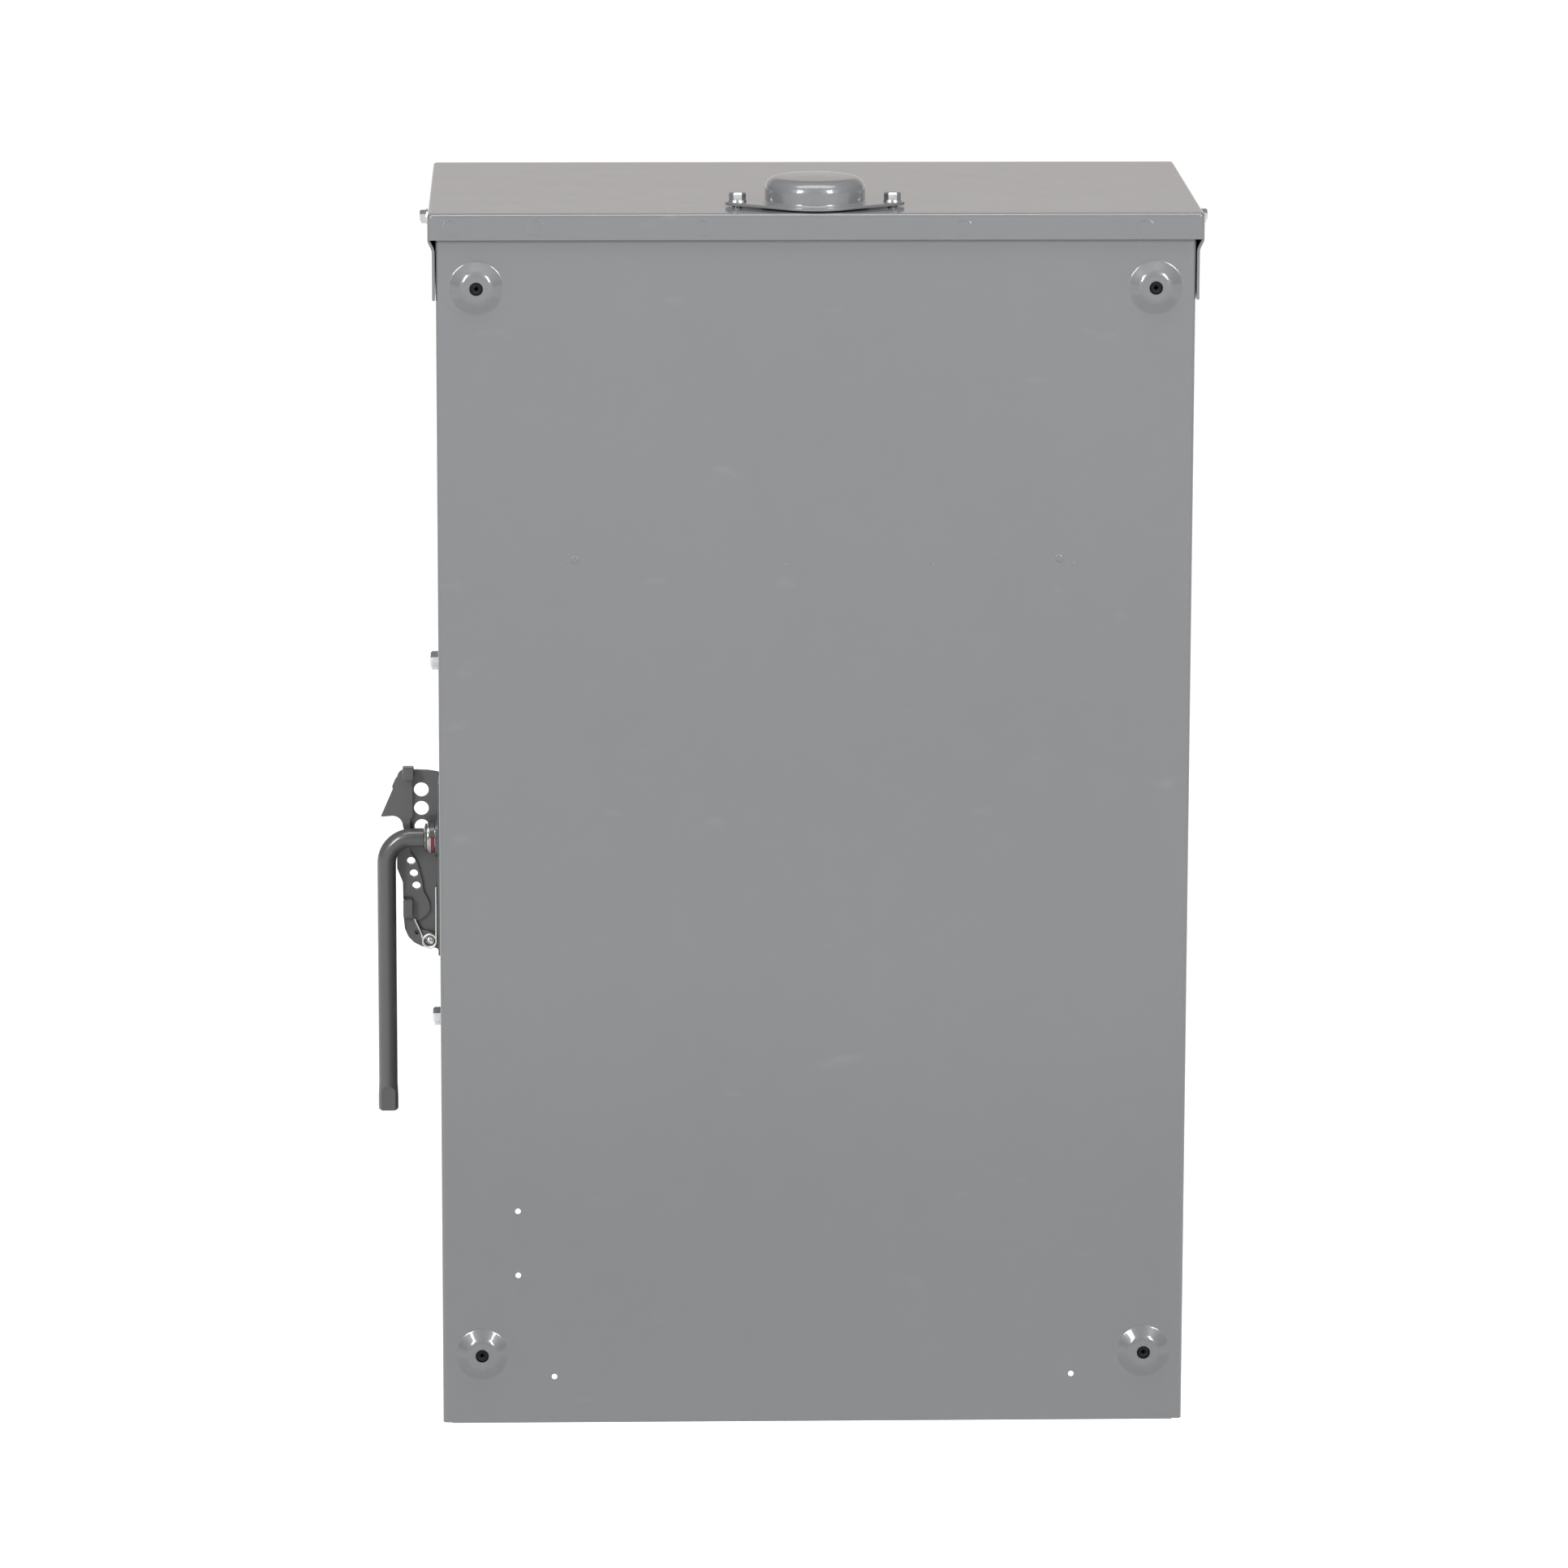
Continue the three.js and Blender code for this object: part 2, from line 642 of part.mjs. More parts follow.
function buildLockSpring() {
  const [x, z] = side(...leverPivot);
  const head = turned(
    'y',
    [x, leverRearY + gap, z],
    [[0, 0], [3.3, 0], [3.1, 1.2], [2.2, 2.2], [0, 2.7]],
    16,
  );
  const length = leverRearY - lockFrontY + 2 * gap;
  const middle = (leverRearY + lockFrontY) / 2;
  const rivet = join(
    head,
    bar('y', [x, middle, z], 2.2, length + 0.2, 12),
    bar('y', [x, lockFrontY - gap - 0.8, z], 4, 1.6, 16),
  );
  place('lock_rivet', rivet, zinc);

  const wire = 0.75;
  const coil = 4.5;
  const turns = 2.5;
  const first = leverRearY + gap + wire;
  const pitch = 2 * wire + 0.12;
  const perTurn = 12;
  const points = [side(19.3, -57.6), side(16.6, -62.2)].map(
    ([px, pz]) => new THREE.Vector3(px, first, pz),
  );
  for (let step = 0; step <= turns * perTurn; step += 1) {
    const angle = (step / perTurn) * 2 * Math.PI;
    points.push(
      new THREE.Vector3(
        x + coil * Math.cos(angle),
        first + (pitch * angle) / (2 * Math.PI),
        z - coil * Math.sin(angle),
      ),
    );
  }
  const depth = first + pitch * turns;
  for (const up of [-66, -54, -40]) {
    points.push(new THREE.Vector3(x - coil, depth, pivotZ + up));
  }
  const path = new THREE.CatmullRomCurve3(points, false, 'centripetal');
  place('lock_spring', sweep(path, wire, 60, 5), zinc);
}

function buildHandle() {
  const start = new THREE.Vector3(halfWidth + 12.2, pivotY, pivotZ);
  const tipZ = pivotZ - rodLength;
  const path = new THREE.CurvePath();
  const bendStart = new THREE.Vector3(rodX - rodBend, pivotY, pivotZ);
  const bendEnd = new THREE.Vector3(rodX, pivotY, pivotZ - rodBend);
  const tip = new THREE.Vector3(rodX, pivotY, tipZ);
  const pull = rodBend * 0.448;
  path.add(new THREE.LineCurve3(start, bendStart));
  path.add(
    new THREE.CubicBezierCurve3(
      bendStart,
      new THREE.Vector3(rodX - pull, pivotY, pivotZ),
      new THREE.Vector3(rodX, pivotY, pivotZ - pull),
      bendEnd,
    ),
  );
  path.add(new THREE.LineCurve3(bendEnd, tip));
  let rod = sweep(path, rodRadius, 26, 10);
  const end = roundedRectangle(
    [rodX - rodRadius - 0.6, rodX + rodRadius + 0.6],
    [tipZ, tipZ + 20],
    2.5,
  );
  rod = rod.add(slabXZ(end, [pivotY - 4.6, pivotY + 4.6]));
  for (const face of [-1, 1]) {
    const y = [pivotY + face * 4.6, pivotY + face * 12].sort((a, b) => a - b);
    rod = cut(rod, block([rodX - 12, rodX + 12], y, [tipZ - 2, tipZ + 14]));
  }
  place('handle_rod', rod, leverPaint);
  const shaftX = [cheekX - 4, halfWidth + 11.9];
  const shaft = bar(
    'x',
    [(shaftX[0] + shaftX[1]) / 2, pivotY, pivotZ],
    shaftRadius,
    shaftX[1] - shaftX[0],
    20,
  );
  place('drive_shaft', shaft, zinc);
  const washer = tubeRing(
    'x',
    [halfWidth + 10.1, pivotY, pivotZ],
    hubWasherRadius,
    shaftRadius + gap,
    2.8,
    20,
  );
  place('hub_washer', washer, zinc);
  const indicator = tubeRing(
    'x',
    [halfWidth + 6.75, pivotY, pivotZ],
    10.2,
    shaftRadius + runningGap,
    3.4,
    20,
  );
  place('position_indicator', indicator, redPlastic);
  for (const [name, up] of [['upper', boltSpanUp], ['lower', -boltSpanDown]]) {
    const z = pivotZ + up;
    const bolt = join(
      hexHead('x', [halfWidth + gap + 3.4, pivotY, z], 11.11, 6.8),
      bar('x', [halfWidth - 6, pivotY, z], 3, 12.8, 12),
    );
    place(`side_bolt_${name}`, bolt, zinc);
  }
}

// ---------------------------------------------------------------- drive mechanism inside
function buildMechanism() {
  const webX = [innerX - gap - 2.5, innerX - gap];
  const ys = [pivotY - 32, pivotY + 32];
  const zs = [pivotZ - boltSpanDown - 16, pivotZ + boltSpanUp + 16];
  let frame = join(
    block(webX, ys, zs),
    block([cheekX, cheekX + 2.5], ys, [pivotZ - 60, zs[1]]),
    block([cheekX, webX[1]], ys, [zs[1] - 2.5, zs[1]]),
    block([cheekX, webX[1]], ys, [pivotZ - 60, pivotZ - 57.5]),
  );
  frame = cut(
    frame,
    bar('x', [cheekX, pivotY, pivotZ], shaftRadius + runningGap, 140, 20),
    ...[boltSpanUp, -boltSpanDown].map((up) =>
      bar('x', [innerX, pivotY, pivotZ + up], 3.5, 20, 12),
    ),
  );
  place('mechanism_frame', frame, galvanized);

  const crankX = (cheekX + webX[0]) / 2;
  const arm = join(
    bar('x', [crankX, pivotY, pivotZ], 16, 8, 24),
    block([crankX - 4, crankX + 4], [pivotY - 9, pivotY + 9], [pivotZ - 38, pivotZ]),
    bar('x', [crankX, pivotY, pivotZ - 38], 9, 8, 20),
  );
  const bore = bar('x', [crankX, pivotY, pivotZ], shaftRadius + gap, 12, 20);
  place('drive_crank', cut(arm, bore), galvanized);

  const springLow = pivotZ + 46;
  const springHigh = zs[1] - 2.5 - gap - 2;
  const turns = 5;
  const points = [...Array(turns * 10 + 1).keys()].map((step) => {
    const angle = (step / 10) * 2 * Math.PI;
    const rise = (springHigh - springLow - 4) * (step / (turns * 10));
    return new THREE.Vector3(
      crankX + 12 * Math.cos(angle),
      pivotY + 12 * Math.sin(angle),
      springLow + 2 + rise,
    );
  });
  const path = new THREE.CatmullRomCurve3(points);
  place('drive_spring', sweep(path, 1.8, 45, 5), zinc);
}

// The crossbar and its blades turn together about the handle's axis. They are made
// standing at ON and turned back to OFF, where the assembly rests.
function asOpened(manifold) {
  return manifold
    .translate([0, -pivotY, -pivotZ])
    .rotate([bladeOpenAngle, 0, 0])
    .translate([0, pivotY, pivotZ]);
}

function buildSwitchRotor() {
  const half = crossbarSize / 2;
  const xs = [-innerX + 26, cheekX - 6];
  let crossbar = join(
    block(xs, [pivotY - half, pivotY + half], [pivotZ - half, pivotZ + half]),
    bar('x', [xs[0] - 6, pivotY, pivotZ], 7, 14, 16),
  );
  const bladeHalf = bladeThickness / 2;
  for (const x of poleX) {
    const slotHalf = bladeWidth / 2 + gap;
    const slot = block(
      [x - bladeHalf - gap, x + bladeHalf + gap],
      [pivotY - slotHalf, pivotY + slotHalf],
      [pivotZ - slotHalf - 4, pivotZ + slotHalf + 4],
    );
    const collar = bar('x', [x, pivotY, pivotZ], slotHalf + 3, 26, 16);
    crossbar = cut(crossbar.add(collar), slot);
  }
  place('crossbar', asOpened(crossbar), insulator);
  poleX.forEach((x, pole) => {
    const shape = roundedRectangle(
      [pivotY - bladeWidth / 2, pivotY + bladeWidth / 2],
      [pivotZ - bladeReach, pivotZ + bladeReach],
      4,
    );
    const onSide = new THREE.Matrix4().makeBasis(
      new THREE.Vector3(0, 1, 0),
      new THREE.Vector3(0, 0, 1),
      new THREE.Vector3(1, 0, 0),
    );
    const options = { depth: bladeThickness, bevelEnabled: false, curveSegments: 2 };
    const geometry = new THREE.ExtrudeGeometry(shape, options);
    geometry.applyMatrix4(onSide).translate(x - bladeHalf, 0, 0);
    place(`blade_${pole + 1}`, asOpened(solid(geometry)), copper);
  });
  const bearingX = -innerX + 16;
  const bearing = cut(
    join(
      block([bearingX, bearingX + 4], [pivotY - 16, innerBackY - gap], [pivotZ - 16, pivotZ + 16]),
      block(
        [bearingX - 12, bearingX + 4],
        [innerBackY - gap - 3, innerBackY - gap],
        [pivotZ - 16, pivotZ + 16],
      ),
    ),
    bar('x', [bearingX, pivotY, pivotZ], 7 + runningGap, 20, 16),
  );
  place('crossbar_bearing', bearing, galvanized);
}

// ---------------------------------------------------------------- switch base and terminals
function buildPan() {
  const xs = [poleX[0] - 42, poleX[2] + 42];
  const zs = [pivotZ - 178, pivotZ + 214];
  const pan = cut(
    block(xs, [panY, innerBackY - gap], zs),
    block([xs[0] + 2, xs[1] - 2], [panY + 2, innerBackY], [zs[0] - 1, zs[1] + 1]),
  );
  place('back_pan', pan, galvanized);
  const baseX = [poleX[0] - 36, poleX[2] + 36];
  for (const [name, low, high] of [
    ['line_base', 20, 170],
    ['load_base', -170, -20],
  ]) {
    let base = block(baseX, [baseY, panY - gap], [pivotZ + low, pivotZ + high]);
    const ribLow = name === 'line_base' ? pivotZ + 96 : pivotZ + low;
    const ribHigh = name === 'line_base' ? pivotZ + high : pivotZ - 96;
    for (const x of [(poleX[0] + poleX[1]) / 2, (poleX[1] + poleX[2]) / 2]) {
      base = base.add(block([x - 2, x + 2], [baseY - 55, baseY + 1], [ribLow, ribHigh]));
    }
    const sweepCentre = [(baseX[0] + baseX[1]) / 2, pivotY, pivotZ];
    const bladeSweep = bar('x', sweepCentre, bladeTip + bladeClearance, bodyWidth, 48);
    place(name, cut(base, bladeSweep), insulator);
  }
}

// direction is +1 for the line side above the axis and -1 for the load side below it.
function terminal(x, direction) {
  const span = (low, high) =>
    [pivotZ + direction * low, pivotZ + direction * high].sort((a, b) => a - b);
  const shelf = bladeReach + 4;
  const face = baseY - gap;
  const leafSpan = [pivotY - bladeWidth / 2 - 2, pivotY + bladeWidth / 2 + 5];
  const gripLow = bladeThickness / 2 + 0.5;
  let piece = join(
    block([x - 14, x + 14], [face - copperThickness, face], span(shelf, 152)),
    block([x - 14, x + 14], [leafSpan[0], face], span(shelf, shelf + copperThickness)),
  );
  for (const hand of [-1, 1]) {
    const leafX = [x + hand * gripLow, x + hand * (gripLow + 3.5)].sort((a, b) => a - b);
    piece = piece.add(block(leafX, leafSpan, span(shelf - 24, shelf + 1)));
  }
  return piece;
}

function lug(x, direction) {
  const face = baseY - gap - copperThickness - gap;
  const [low, high] = [direction * 106, direction * 148].sort((a, b) => a - b);
  return cut(
    block([x - 15, x + 15], [face - 36, face], [pivotZ + low, pivotZ + high]),
    bar('z', [x, face - 20, pivotZ + (low + high) / 2], 9.5, 60, 16),
    bar('y', [x, face - 36, pivotZ + (low + high) / 2], 6, 20, 12),
  );
}

function arcChute(x) {
  const zs = [pivotZ + 24, pivotZ + bladeReach + 2];
  const ys = [pivotY - 26, baseY - 10];
  let chute = cut(
    block([x - 33, x + 33], ys, zs),
    block([x - 9.5, x + 9.5], [ys[0] - 1, ys[1] - 10], [zs[0] - 1, zs[1] + 1]),
  );
  for (let fin = 1; fin <= 5; fin += 1) {
    const z = zs[0] + ((zs[1] - zs[0]) * fin) / 6;
    for (const hand of [-1, 1]) {
      const vent = [x + hand * 13, x + hand * 29].sort((a, b) => a - b);
      chute = cut(chute, block(vent, [ys[0] - 1, ys[0] + 14], [z - 1.5, z + 1.5]));
    }
  }
  return chute;
}

function buildPoles() {
  poleX.forEach((x, pole) => {
    place(`line_terminal_${pole + 1}`, terminal(x, 1), copper);
    place(`load_terminal_${pole + 1}`, terminal(x, -1), copper);
    place(`line_lug_${pole + 1}`, lug(x, 1), aluminium);
    place(`load_lug_${pole + 1}`, lug(x, -1), aluminium);
    place(`arc_chute_${pole + 1}`, arcChute(x), chuteBoard);
  });
}

function buildBars() {
  const z = bottomZ + 72;
  const barAt = (centre, length, rear) =>
    block([centre - length / 2, centre + length / 2], [rear - 14, rear], [z - 8, z + 8]);
  const groundX = halfWidth - 150;
  let ground = barAt(groundX, 110, innerBackY - gap - 6);
  for (const x of [groundX - 46, groundX + 46]) {
    const foot = [innerBackY - gap - 7, innerBackY - gap];
    ground = ground.add(block([x - 7, x + 7], foot, [z - 8, z + 8]));
  }
  place('ground_bar', ground, aluminium);
  const neutralX = -halfWidth + 150;
  const rear = innerBackY - gap;
  const stand = block([neutralX - 55, neutralX + 55], [rear - 22, rear], [z - 14, z + 14]);
  place('neutral_insulator', stand, insulator);
  place('neutral_bar', barAt(neutralX, 96, rear - 22 - gap), aluminium);
}

buildBody();
buildBottomWall();
buildHood();
buildHub();
buildTrim();
buildDoor();
buildHinges();
buildDoorScrews();
buildHandleBase();
buildLockLever();
buildLockSpring();
buildHandle();
buildMechanism();
buildSwitchRotor();
buildPan();
buildPoles();
buildBars();

export default assembly;
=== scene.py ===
# %% [markdown]
# # A rainproof safety switch, seen from its wall side
# The object is a steel cabinet that hangs on a wall by four pressed bosses. A hood keeps rain off
# the door, a handle on one side throws the switch, and a sprung lever locks the handle. The frame
# file holds every part at its real size, so this script only adds finer surfaces and finishes.

# %% Load the frame
import json
import math

import bmesh
import bpy
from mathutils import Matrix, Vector


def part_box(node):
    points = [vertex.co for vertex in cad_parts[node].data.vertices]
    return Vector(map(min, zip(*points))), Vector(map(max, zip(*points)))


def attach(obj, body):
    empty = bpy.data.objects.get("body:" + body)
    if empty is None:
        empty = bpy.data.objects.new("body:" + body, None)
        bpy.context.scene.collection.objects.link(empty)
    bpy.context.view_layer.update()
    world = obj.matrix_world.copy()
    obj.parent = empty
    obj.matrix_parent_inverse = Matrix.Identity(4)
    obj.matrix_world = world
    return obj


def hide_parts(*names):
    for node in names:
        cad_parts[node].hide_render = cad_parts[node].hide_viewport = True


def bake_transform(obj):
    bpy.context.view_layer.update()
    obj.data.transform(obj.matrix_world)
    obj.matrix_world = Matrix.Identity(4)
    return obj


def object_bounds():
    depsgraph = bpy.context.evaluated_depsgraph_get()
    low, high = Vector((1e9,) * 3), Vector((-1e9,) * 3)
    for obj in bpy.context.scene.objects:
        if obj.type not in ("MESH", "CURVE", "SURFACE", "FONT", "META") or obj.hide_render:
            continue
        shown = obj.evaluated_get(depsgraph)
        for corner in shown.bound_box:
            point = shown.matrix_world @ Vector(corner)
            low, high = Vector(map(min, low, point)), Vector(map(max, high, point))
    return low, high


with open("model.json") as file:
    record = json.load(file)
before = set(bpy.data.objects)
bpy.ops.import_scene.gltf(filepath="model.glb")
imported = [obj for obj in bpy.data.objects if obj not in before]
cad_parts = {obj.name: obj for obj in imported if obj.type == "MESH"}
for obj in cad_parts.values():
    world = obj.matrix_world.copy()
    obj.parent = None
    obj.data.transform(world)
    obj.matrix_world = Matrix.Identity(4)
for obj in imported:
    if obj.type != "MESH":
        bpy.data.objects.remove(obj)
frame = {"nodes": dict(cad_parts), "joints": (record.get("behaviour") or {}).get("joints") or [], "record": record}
cad_low, cad_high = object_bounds()
print("frame box in metres", [round(v, 4) for v in (*cad_low, *cad_high)])

# %% [markdown]
# ## Sizes taken from the frame
# Sheet metal is drawn in millimetres, so the script works in millimetres and scales each mesh
# once, when it is finished. Most places come from a part's box in the frame.

# %% Places in millimetres
MM = 0.001


def box_of(node):
    low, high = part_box(node)
    return low / MM, high / MM


def centre_of(node):
    low, high = box_of(node)
    return (low + high) / 2


shell_low, shell_high = box_of("body_shell")
hood_low, hood_high = box_of("rain_hood")
boss_height = 5.5
half_width = shell_high.x
back_y = shell_high.y - boss_height
front_y = shell_low.y
bottom_z = shell_low.z
hood_top = hood_high.z
sheet = 1.9
quarter = math.pi / 2
axis = Vector(next(j for j in frame["joints"] if j["name"] == "handle_throw")["pos_m"]) / MM
print("cabinet is", round(2 * half_width, 1), "mm wide")
print("handle axis at", [round(v, 1) for v in axis])

# %% [markdown]
# ## Nodes without typing
# A material and a geometry tree are both graphs of nodes. One small class adds any node: settings
# first, then values or links on its sockets. Another wraps a socket, so that shader maths can be
# written as ordinary arithmetic.


# %% Graph helpers
class Signal:
    """One output socket. Arithmetic on it adds Math nodes."""

    def __init__(self, graph, socket):
        self.graph, self.socket = graph, socket

    def math(self, operation, *values):
        sockets = dict(enumerate(values))
        return self.graph.node("ShaderNodeMath", sockets, operation=operation)

    def __add__(self, other):
        return self.math("ADD", self, other)

    def __rsub__(self, other):
        return self.math("SUBTRACT", other, self)

    def __mul__(self, other):
        return self.math("MULTIPLY", self, other)

    __radd__ = __add__
    __rmul__ = __mul__

    def above(self, level, softness):
        """0 below the level, 1 above it, with a soft step."""
        sockets = {"Value": self, "From Min": level - softness, "From Max": level + softness}
        return self.graph.node("ShaderNodeMapRange", sockets, interpolation_type="SMOOTHSTEP")


class Graph:
    """Adds nodes to one node tree."""

    def __init__(self, tree):
        self.tree = tree

    def node(self, kind, sockets=None, output=0, **settings):
        made = self.tree.nodes.new(kind)
        for name, value in settings.items():
            setattr(made, name, value)
        for key, value in (sockets or {}).items():
            if isinstance(value, Signal):
                self.tree.links.new(value.socket, made.inputs[key])
            else:
                made.inputs[key].default_value = value
        return Signal(self, made.outputs[output]) if made.outputs else made


# %% [markdown]
# ## Finishes
# Every finish reads Object coordinates, which are metres in the frame, so the scale of a noise is
# simply waves per metre. Each one varies its colour and roughness a little and has a fine bump,
# because no real surface has one value all over.


# %% A finish is a material with helpers
class Finish(Graph):
    def __init__(self, name, roughness, metallic=0.0, **fixed):
        self.material = bpy.data.materials.new(name)
        self.material.use_nodes = True
        super().__init__(self.material.node_tree)
        self.shader = self.tree.nodes["Principled BSDF"]
        self.shader.inputs["Roughness"].default_value = roughness
        self.shader.inputs["Metallic"].default_value = metallic
        for label, value in fixed.items():
            self.shader.inputs[label.replace("_", " ")].default_value = value
        self.place = self.node("ShaderNodeTexCoord", output="Object")

    def stretched(self, scale):
        return self.node("ShaderNodeMapping", {"Vector": self.place, "Scale": scale})

    def noise(self, waves, detail=2.0, place=None):
        sockets = {"Vector": place or self.place, "Scale": waves, "Detail": detail}
        return self.node("ShaderNodeTexNoise", sockets)

    def mix(self, share, first, second):
        sockets = {0: share, 6: first, 7: second}
        return self.node("ShaderNodeMix", sockets, output=2, data_type="RGBA")

    def drive(self, label, signal):
        self.tree.links.new(signal.socket, self.shader.inputs[label])

    def bump(self, height, distance):
        sockets = {"Height": height, "Distance": distance, "Strength": 1.0}
        self.drive("Normal", self.node("ShaderNodeBump", sockets))


def grey(level, tint=(1.0, 1.0, 1.0)):
    return (level * tint[0], level * tint[1], level * tint[2], 1.0)


# %% [markdown]
# ### Baked enamel
# The cabinet is sprayed with a grey enamel and baked. It has a soft sheen, a faint orange peel of
# about a millimetre, cloudy patches of slightly different grey, and a few dull rub marks.


# %% Enamel
def enamel(name, light, dark, roughness, gloss, peel):
    paint = Finish(name, roughness, Coat_Weight=gloss, Coat_Roughness=0.07)
    clouds = paint.noise(5.0, 4.0)
    patches = paint.noise(38.0, 3.0)
    rubs = paint.noise(24.0, 6.0, paint.stretched((1.0, 1.0, 2.2))).above(0.72, 0.07)
    specks = paint.noise(1400.0, 1.0).above(0.74, 0.03)
    base = paint.mix(clouds * 0.7 + patches * 0.3, dark, light)
    rubbed = paint.mix(rubs * 0.05, base, grey(0.4))
    paint.drive("Base Color", paint.mix(specks * 0.12, rubbed, grey(0.05)))
    paint.drive("Roughness", patches * 0.08 + rubs * 0.06 + (roughness - 0.04))
    paint.bump(paint.noise(850.0, 2.0) + paint.noise(230.0, 1.0) * 1.5, peel)
    return paint.material


cabinet_paint = enamel(
    "cabinet_enamel",
    grey(0.138, (0.985, 1.0, 1.03)),
    grey(0.126, (0.965, 1.0, 1.06)),
    roughness=0.34,
    gloss=0.9,
    peel=0.00003,
)
handle_paint = enamel(
    "handle_enamel",
    grey(0.084),
    grey(0.072, (0.98, 1.0, 1.02)),
    roughness=0.34,
    gloss=0.45,
    peel=0.00002,
)

# %% [markdown]
# ### Metals
# Zinc plate is bright and a little blue, with cloudy passivation. Hot-dip galvanizing grows
# crystals called spangle, which a Voronoi texture's cells resemble: each cell gets its own
# brightness and roughness. Extruded bars and drawn copper carry fine lines along their length.


# %% Zinc, spangle, copper and aluminium
def bright_zinc():
    plate = Finish("bright_zinc", 0.26, 1.0)
    haze = plate.noise(160.0, 3.0)
    grain = plate.noise(2200.0, 1.0)
    cool, warm = grey(0.72, (0.97, 1.0, 1.05)), grey(0.60, (1.04, 1.0, 0.93))
    plate.drive("Base Color", plate.mix(haze.above(0.52, 0.16), cool, warm))
    plate.drive("Roughness", haze * 0.22 + grain * 0.10 + 0.10)
    plate.bump(grain, 0.00002)
    return plate.material


def spangled_zinc():
    coat = Finish("spangled_zinc", 0.42, 1.0)
    sockets = {"Vector": coat.place, "Scale": 130.0}
    cell = coat.node("ShaderNodeTexVoronoi", sockets, output="Color")
    level = coat.node("ShaderNodeSeparateColor", {0: cell})
    coat.drive("Base Color", coat.mix(level, grey(0.40), grey(0.60, (0.98, 1.0, 1.03))))
    coat.drive("Roughness", level * 0.22 + coat.noise(420.0) * 0.12 + 0.24)
    coat.bump(level + coat.noise(900.0) * 0.4, 0.00003)
    return coat.material


def drawn_metal(name, light, dark, roughness, lines):
    bar = Finish(name, roughness, 1.0)
    streak = bar.noise(1.0, 2.0, bar.stretched(lines))
    patina = bar.noise(70.0, 5.0)
    bar.drive("Base Color", bar.mix(patina.above(0.5, 0.22), light, dark))
    bar.drive("Roughness", streak * 0.2 + patina * 0.12 + (roughness - 0.14))
    bar.bump(streak, 0.00003)
    return bar.material


zinc = bright_zinc()
spring_wire = drawn_metal(
    "spring_wire", grey(0.90), grey(0.78, (1.0, 1.0, 0.97)), 0.38, (60.0, 60.0, 400.0)
)
spangle = spangled_zinc()
copper = drawn_metal(
    "drawn_copper", (0.76, 0.37, 0.19, 1.0), (0.50, 0.21, 0.11, 1.0), 0.34, (900.0, 900.0, 30.0)
)
aluminium = drawn_metal(
    "extruded_aluminium", grey(0.68), grey(0.55, (1.0, 1.0, 1.02)), 0.36, (40.0, 900.0, 900.0)
)

# %% [markdown]
# ### Moulded and fibrous materials
# Rubber is dull and slightly dusty. The switch base is a black moulding compound with pale glass
# fibres just under its skin. Arc chutes are pressed fibre board, which is matt and mottled.


# %% Rubber, mouldings, board and nylon
def moulding(name, light, dark, roughness, flecks, grain_waves, grain_depth, shine=0.5):
    body = Finish(name, roughness, Specular_IOR_Level=shine)
    cloud = body.noise(60.0, 4.0)
    grain = body.noise(grain_waves, 3.0)
    fleck = body.noise(520.0, 3.0, body.stretched((1.0, 0.25, 1.0))).above(0.68, 0.05)
    base = body.mix(cloud, dark, light)
    body.drive("Base Color", body.mix(fleck * flecks, base, grey(0.5)))
    body.drive("Roughness", grain * 0.16 + (roughness - 0.08))
    body.bump(grain, grain_depth)
    return body.material


rubber = moulding("dull_rubber", grey(0.012), grey(0.005), 0.7, 0.03, 1500.0, 0.00006, 0.15)
bakelite = moulding("black_moulding", grey(0.040), grey(0.022), 0.42, 0.14, 700.0, 0.00003)
board = moulding(
    "fibre_board", (0.52, 0.47, 0.37, 1.0), (0.40, 0.36, 0.28, 1.0), 0.82, 0.35, 900.0, 0.00008
)
# Painted shade: this red is darker than the plastic itself, standing in for the shade it sits in at the handle's
# hub.
red_plastic = moulding(
    "red_plastic", (0.21, 0.030, 0.040, 1.0), (0.15, 0.020, 0.028, 1.0), 0.38, 0.0, 1200.0, 0.00002
)
nylon = moulding("white_nylon", grey(0.86), grey(0.80), 0.45, 0.0, 1200.0, 0.00002)
label_paper = moulding("label_stock", grey(0.72), grey(0.66), 0.5, 0.0, 1600.0, 0.00001)
finishes = {
    "grey_paint": cabinet_paint,
    "dark_grey_paint": handle_paint,
    "zinc_plate": zinc,
    "galvanized_steel": spangle,
    "rubber": rubber,
    "copper": copper,
    "aluminium": aluminium,
    "insulator": bakelite,
    "arc_board": board,
    "red_plastic": red_plastic,
    "white_plastic": nylon,
}
print(len(bpy.data.materials), "materials in the file")

# %% [markdown]
# ## Building a mesh
# Sheet metal is easiest as a single surface: draw the outside skin, then let Solidify give it the
# sheet's thickness inwards and let Bevel break its cut edges. These helpers draw flat faces with
# holes, rings around a centre, and strips between two outlines.


# %% Mesh helpers
def arc(radius, start, end, steps, centre=(0.0, 0.0)):
    """Points on a circle from one angle to another, both included."""
    points = []
    for i in range(steps + 1):
        angle = start + (end - start) * i / steps
        points.append((centre[0] + radius * math.cos(angle), centre[1] + radius * math.sin(angle)))
    return points


def circle(radius, count, centre=(0.0, 0.0)):
    return arc(radius, 0.0, 2 * math.pi, count, centre)[:-1]


def rectangle(x, y):
    return [(x[0], y[0]), (x[1], y[0]), (x[1], y[1]), (x[0], y[1])]


def add_loop(bm, points):
    return [bm.verts.new(point) for point in points]


def flat_face(bm, place, outline, holes=()):
    """Fills an outline and leaves its holes open. place turns flat (a, b) into a point."""
    edges = []
    for flat in (outline, *holes):
        loop = add_loop(bm, [place(a, b) for a, b in flat])
        edges += [bm.edges.new((loop[i - 1], loop[i])) for i in range(len(loop))]
    bmesh.ops.triangle_fill(bm, edges=edges, use_beauty=True)


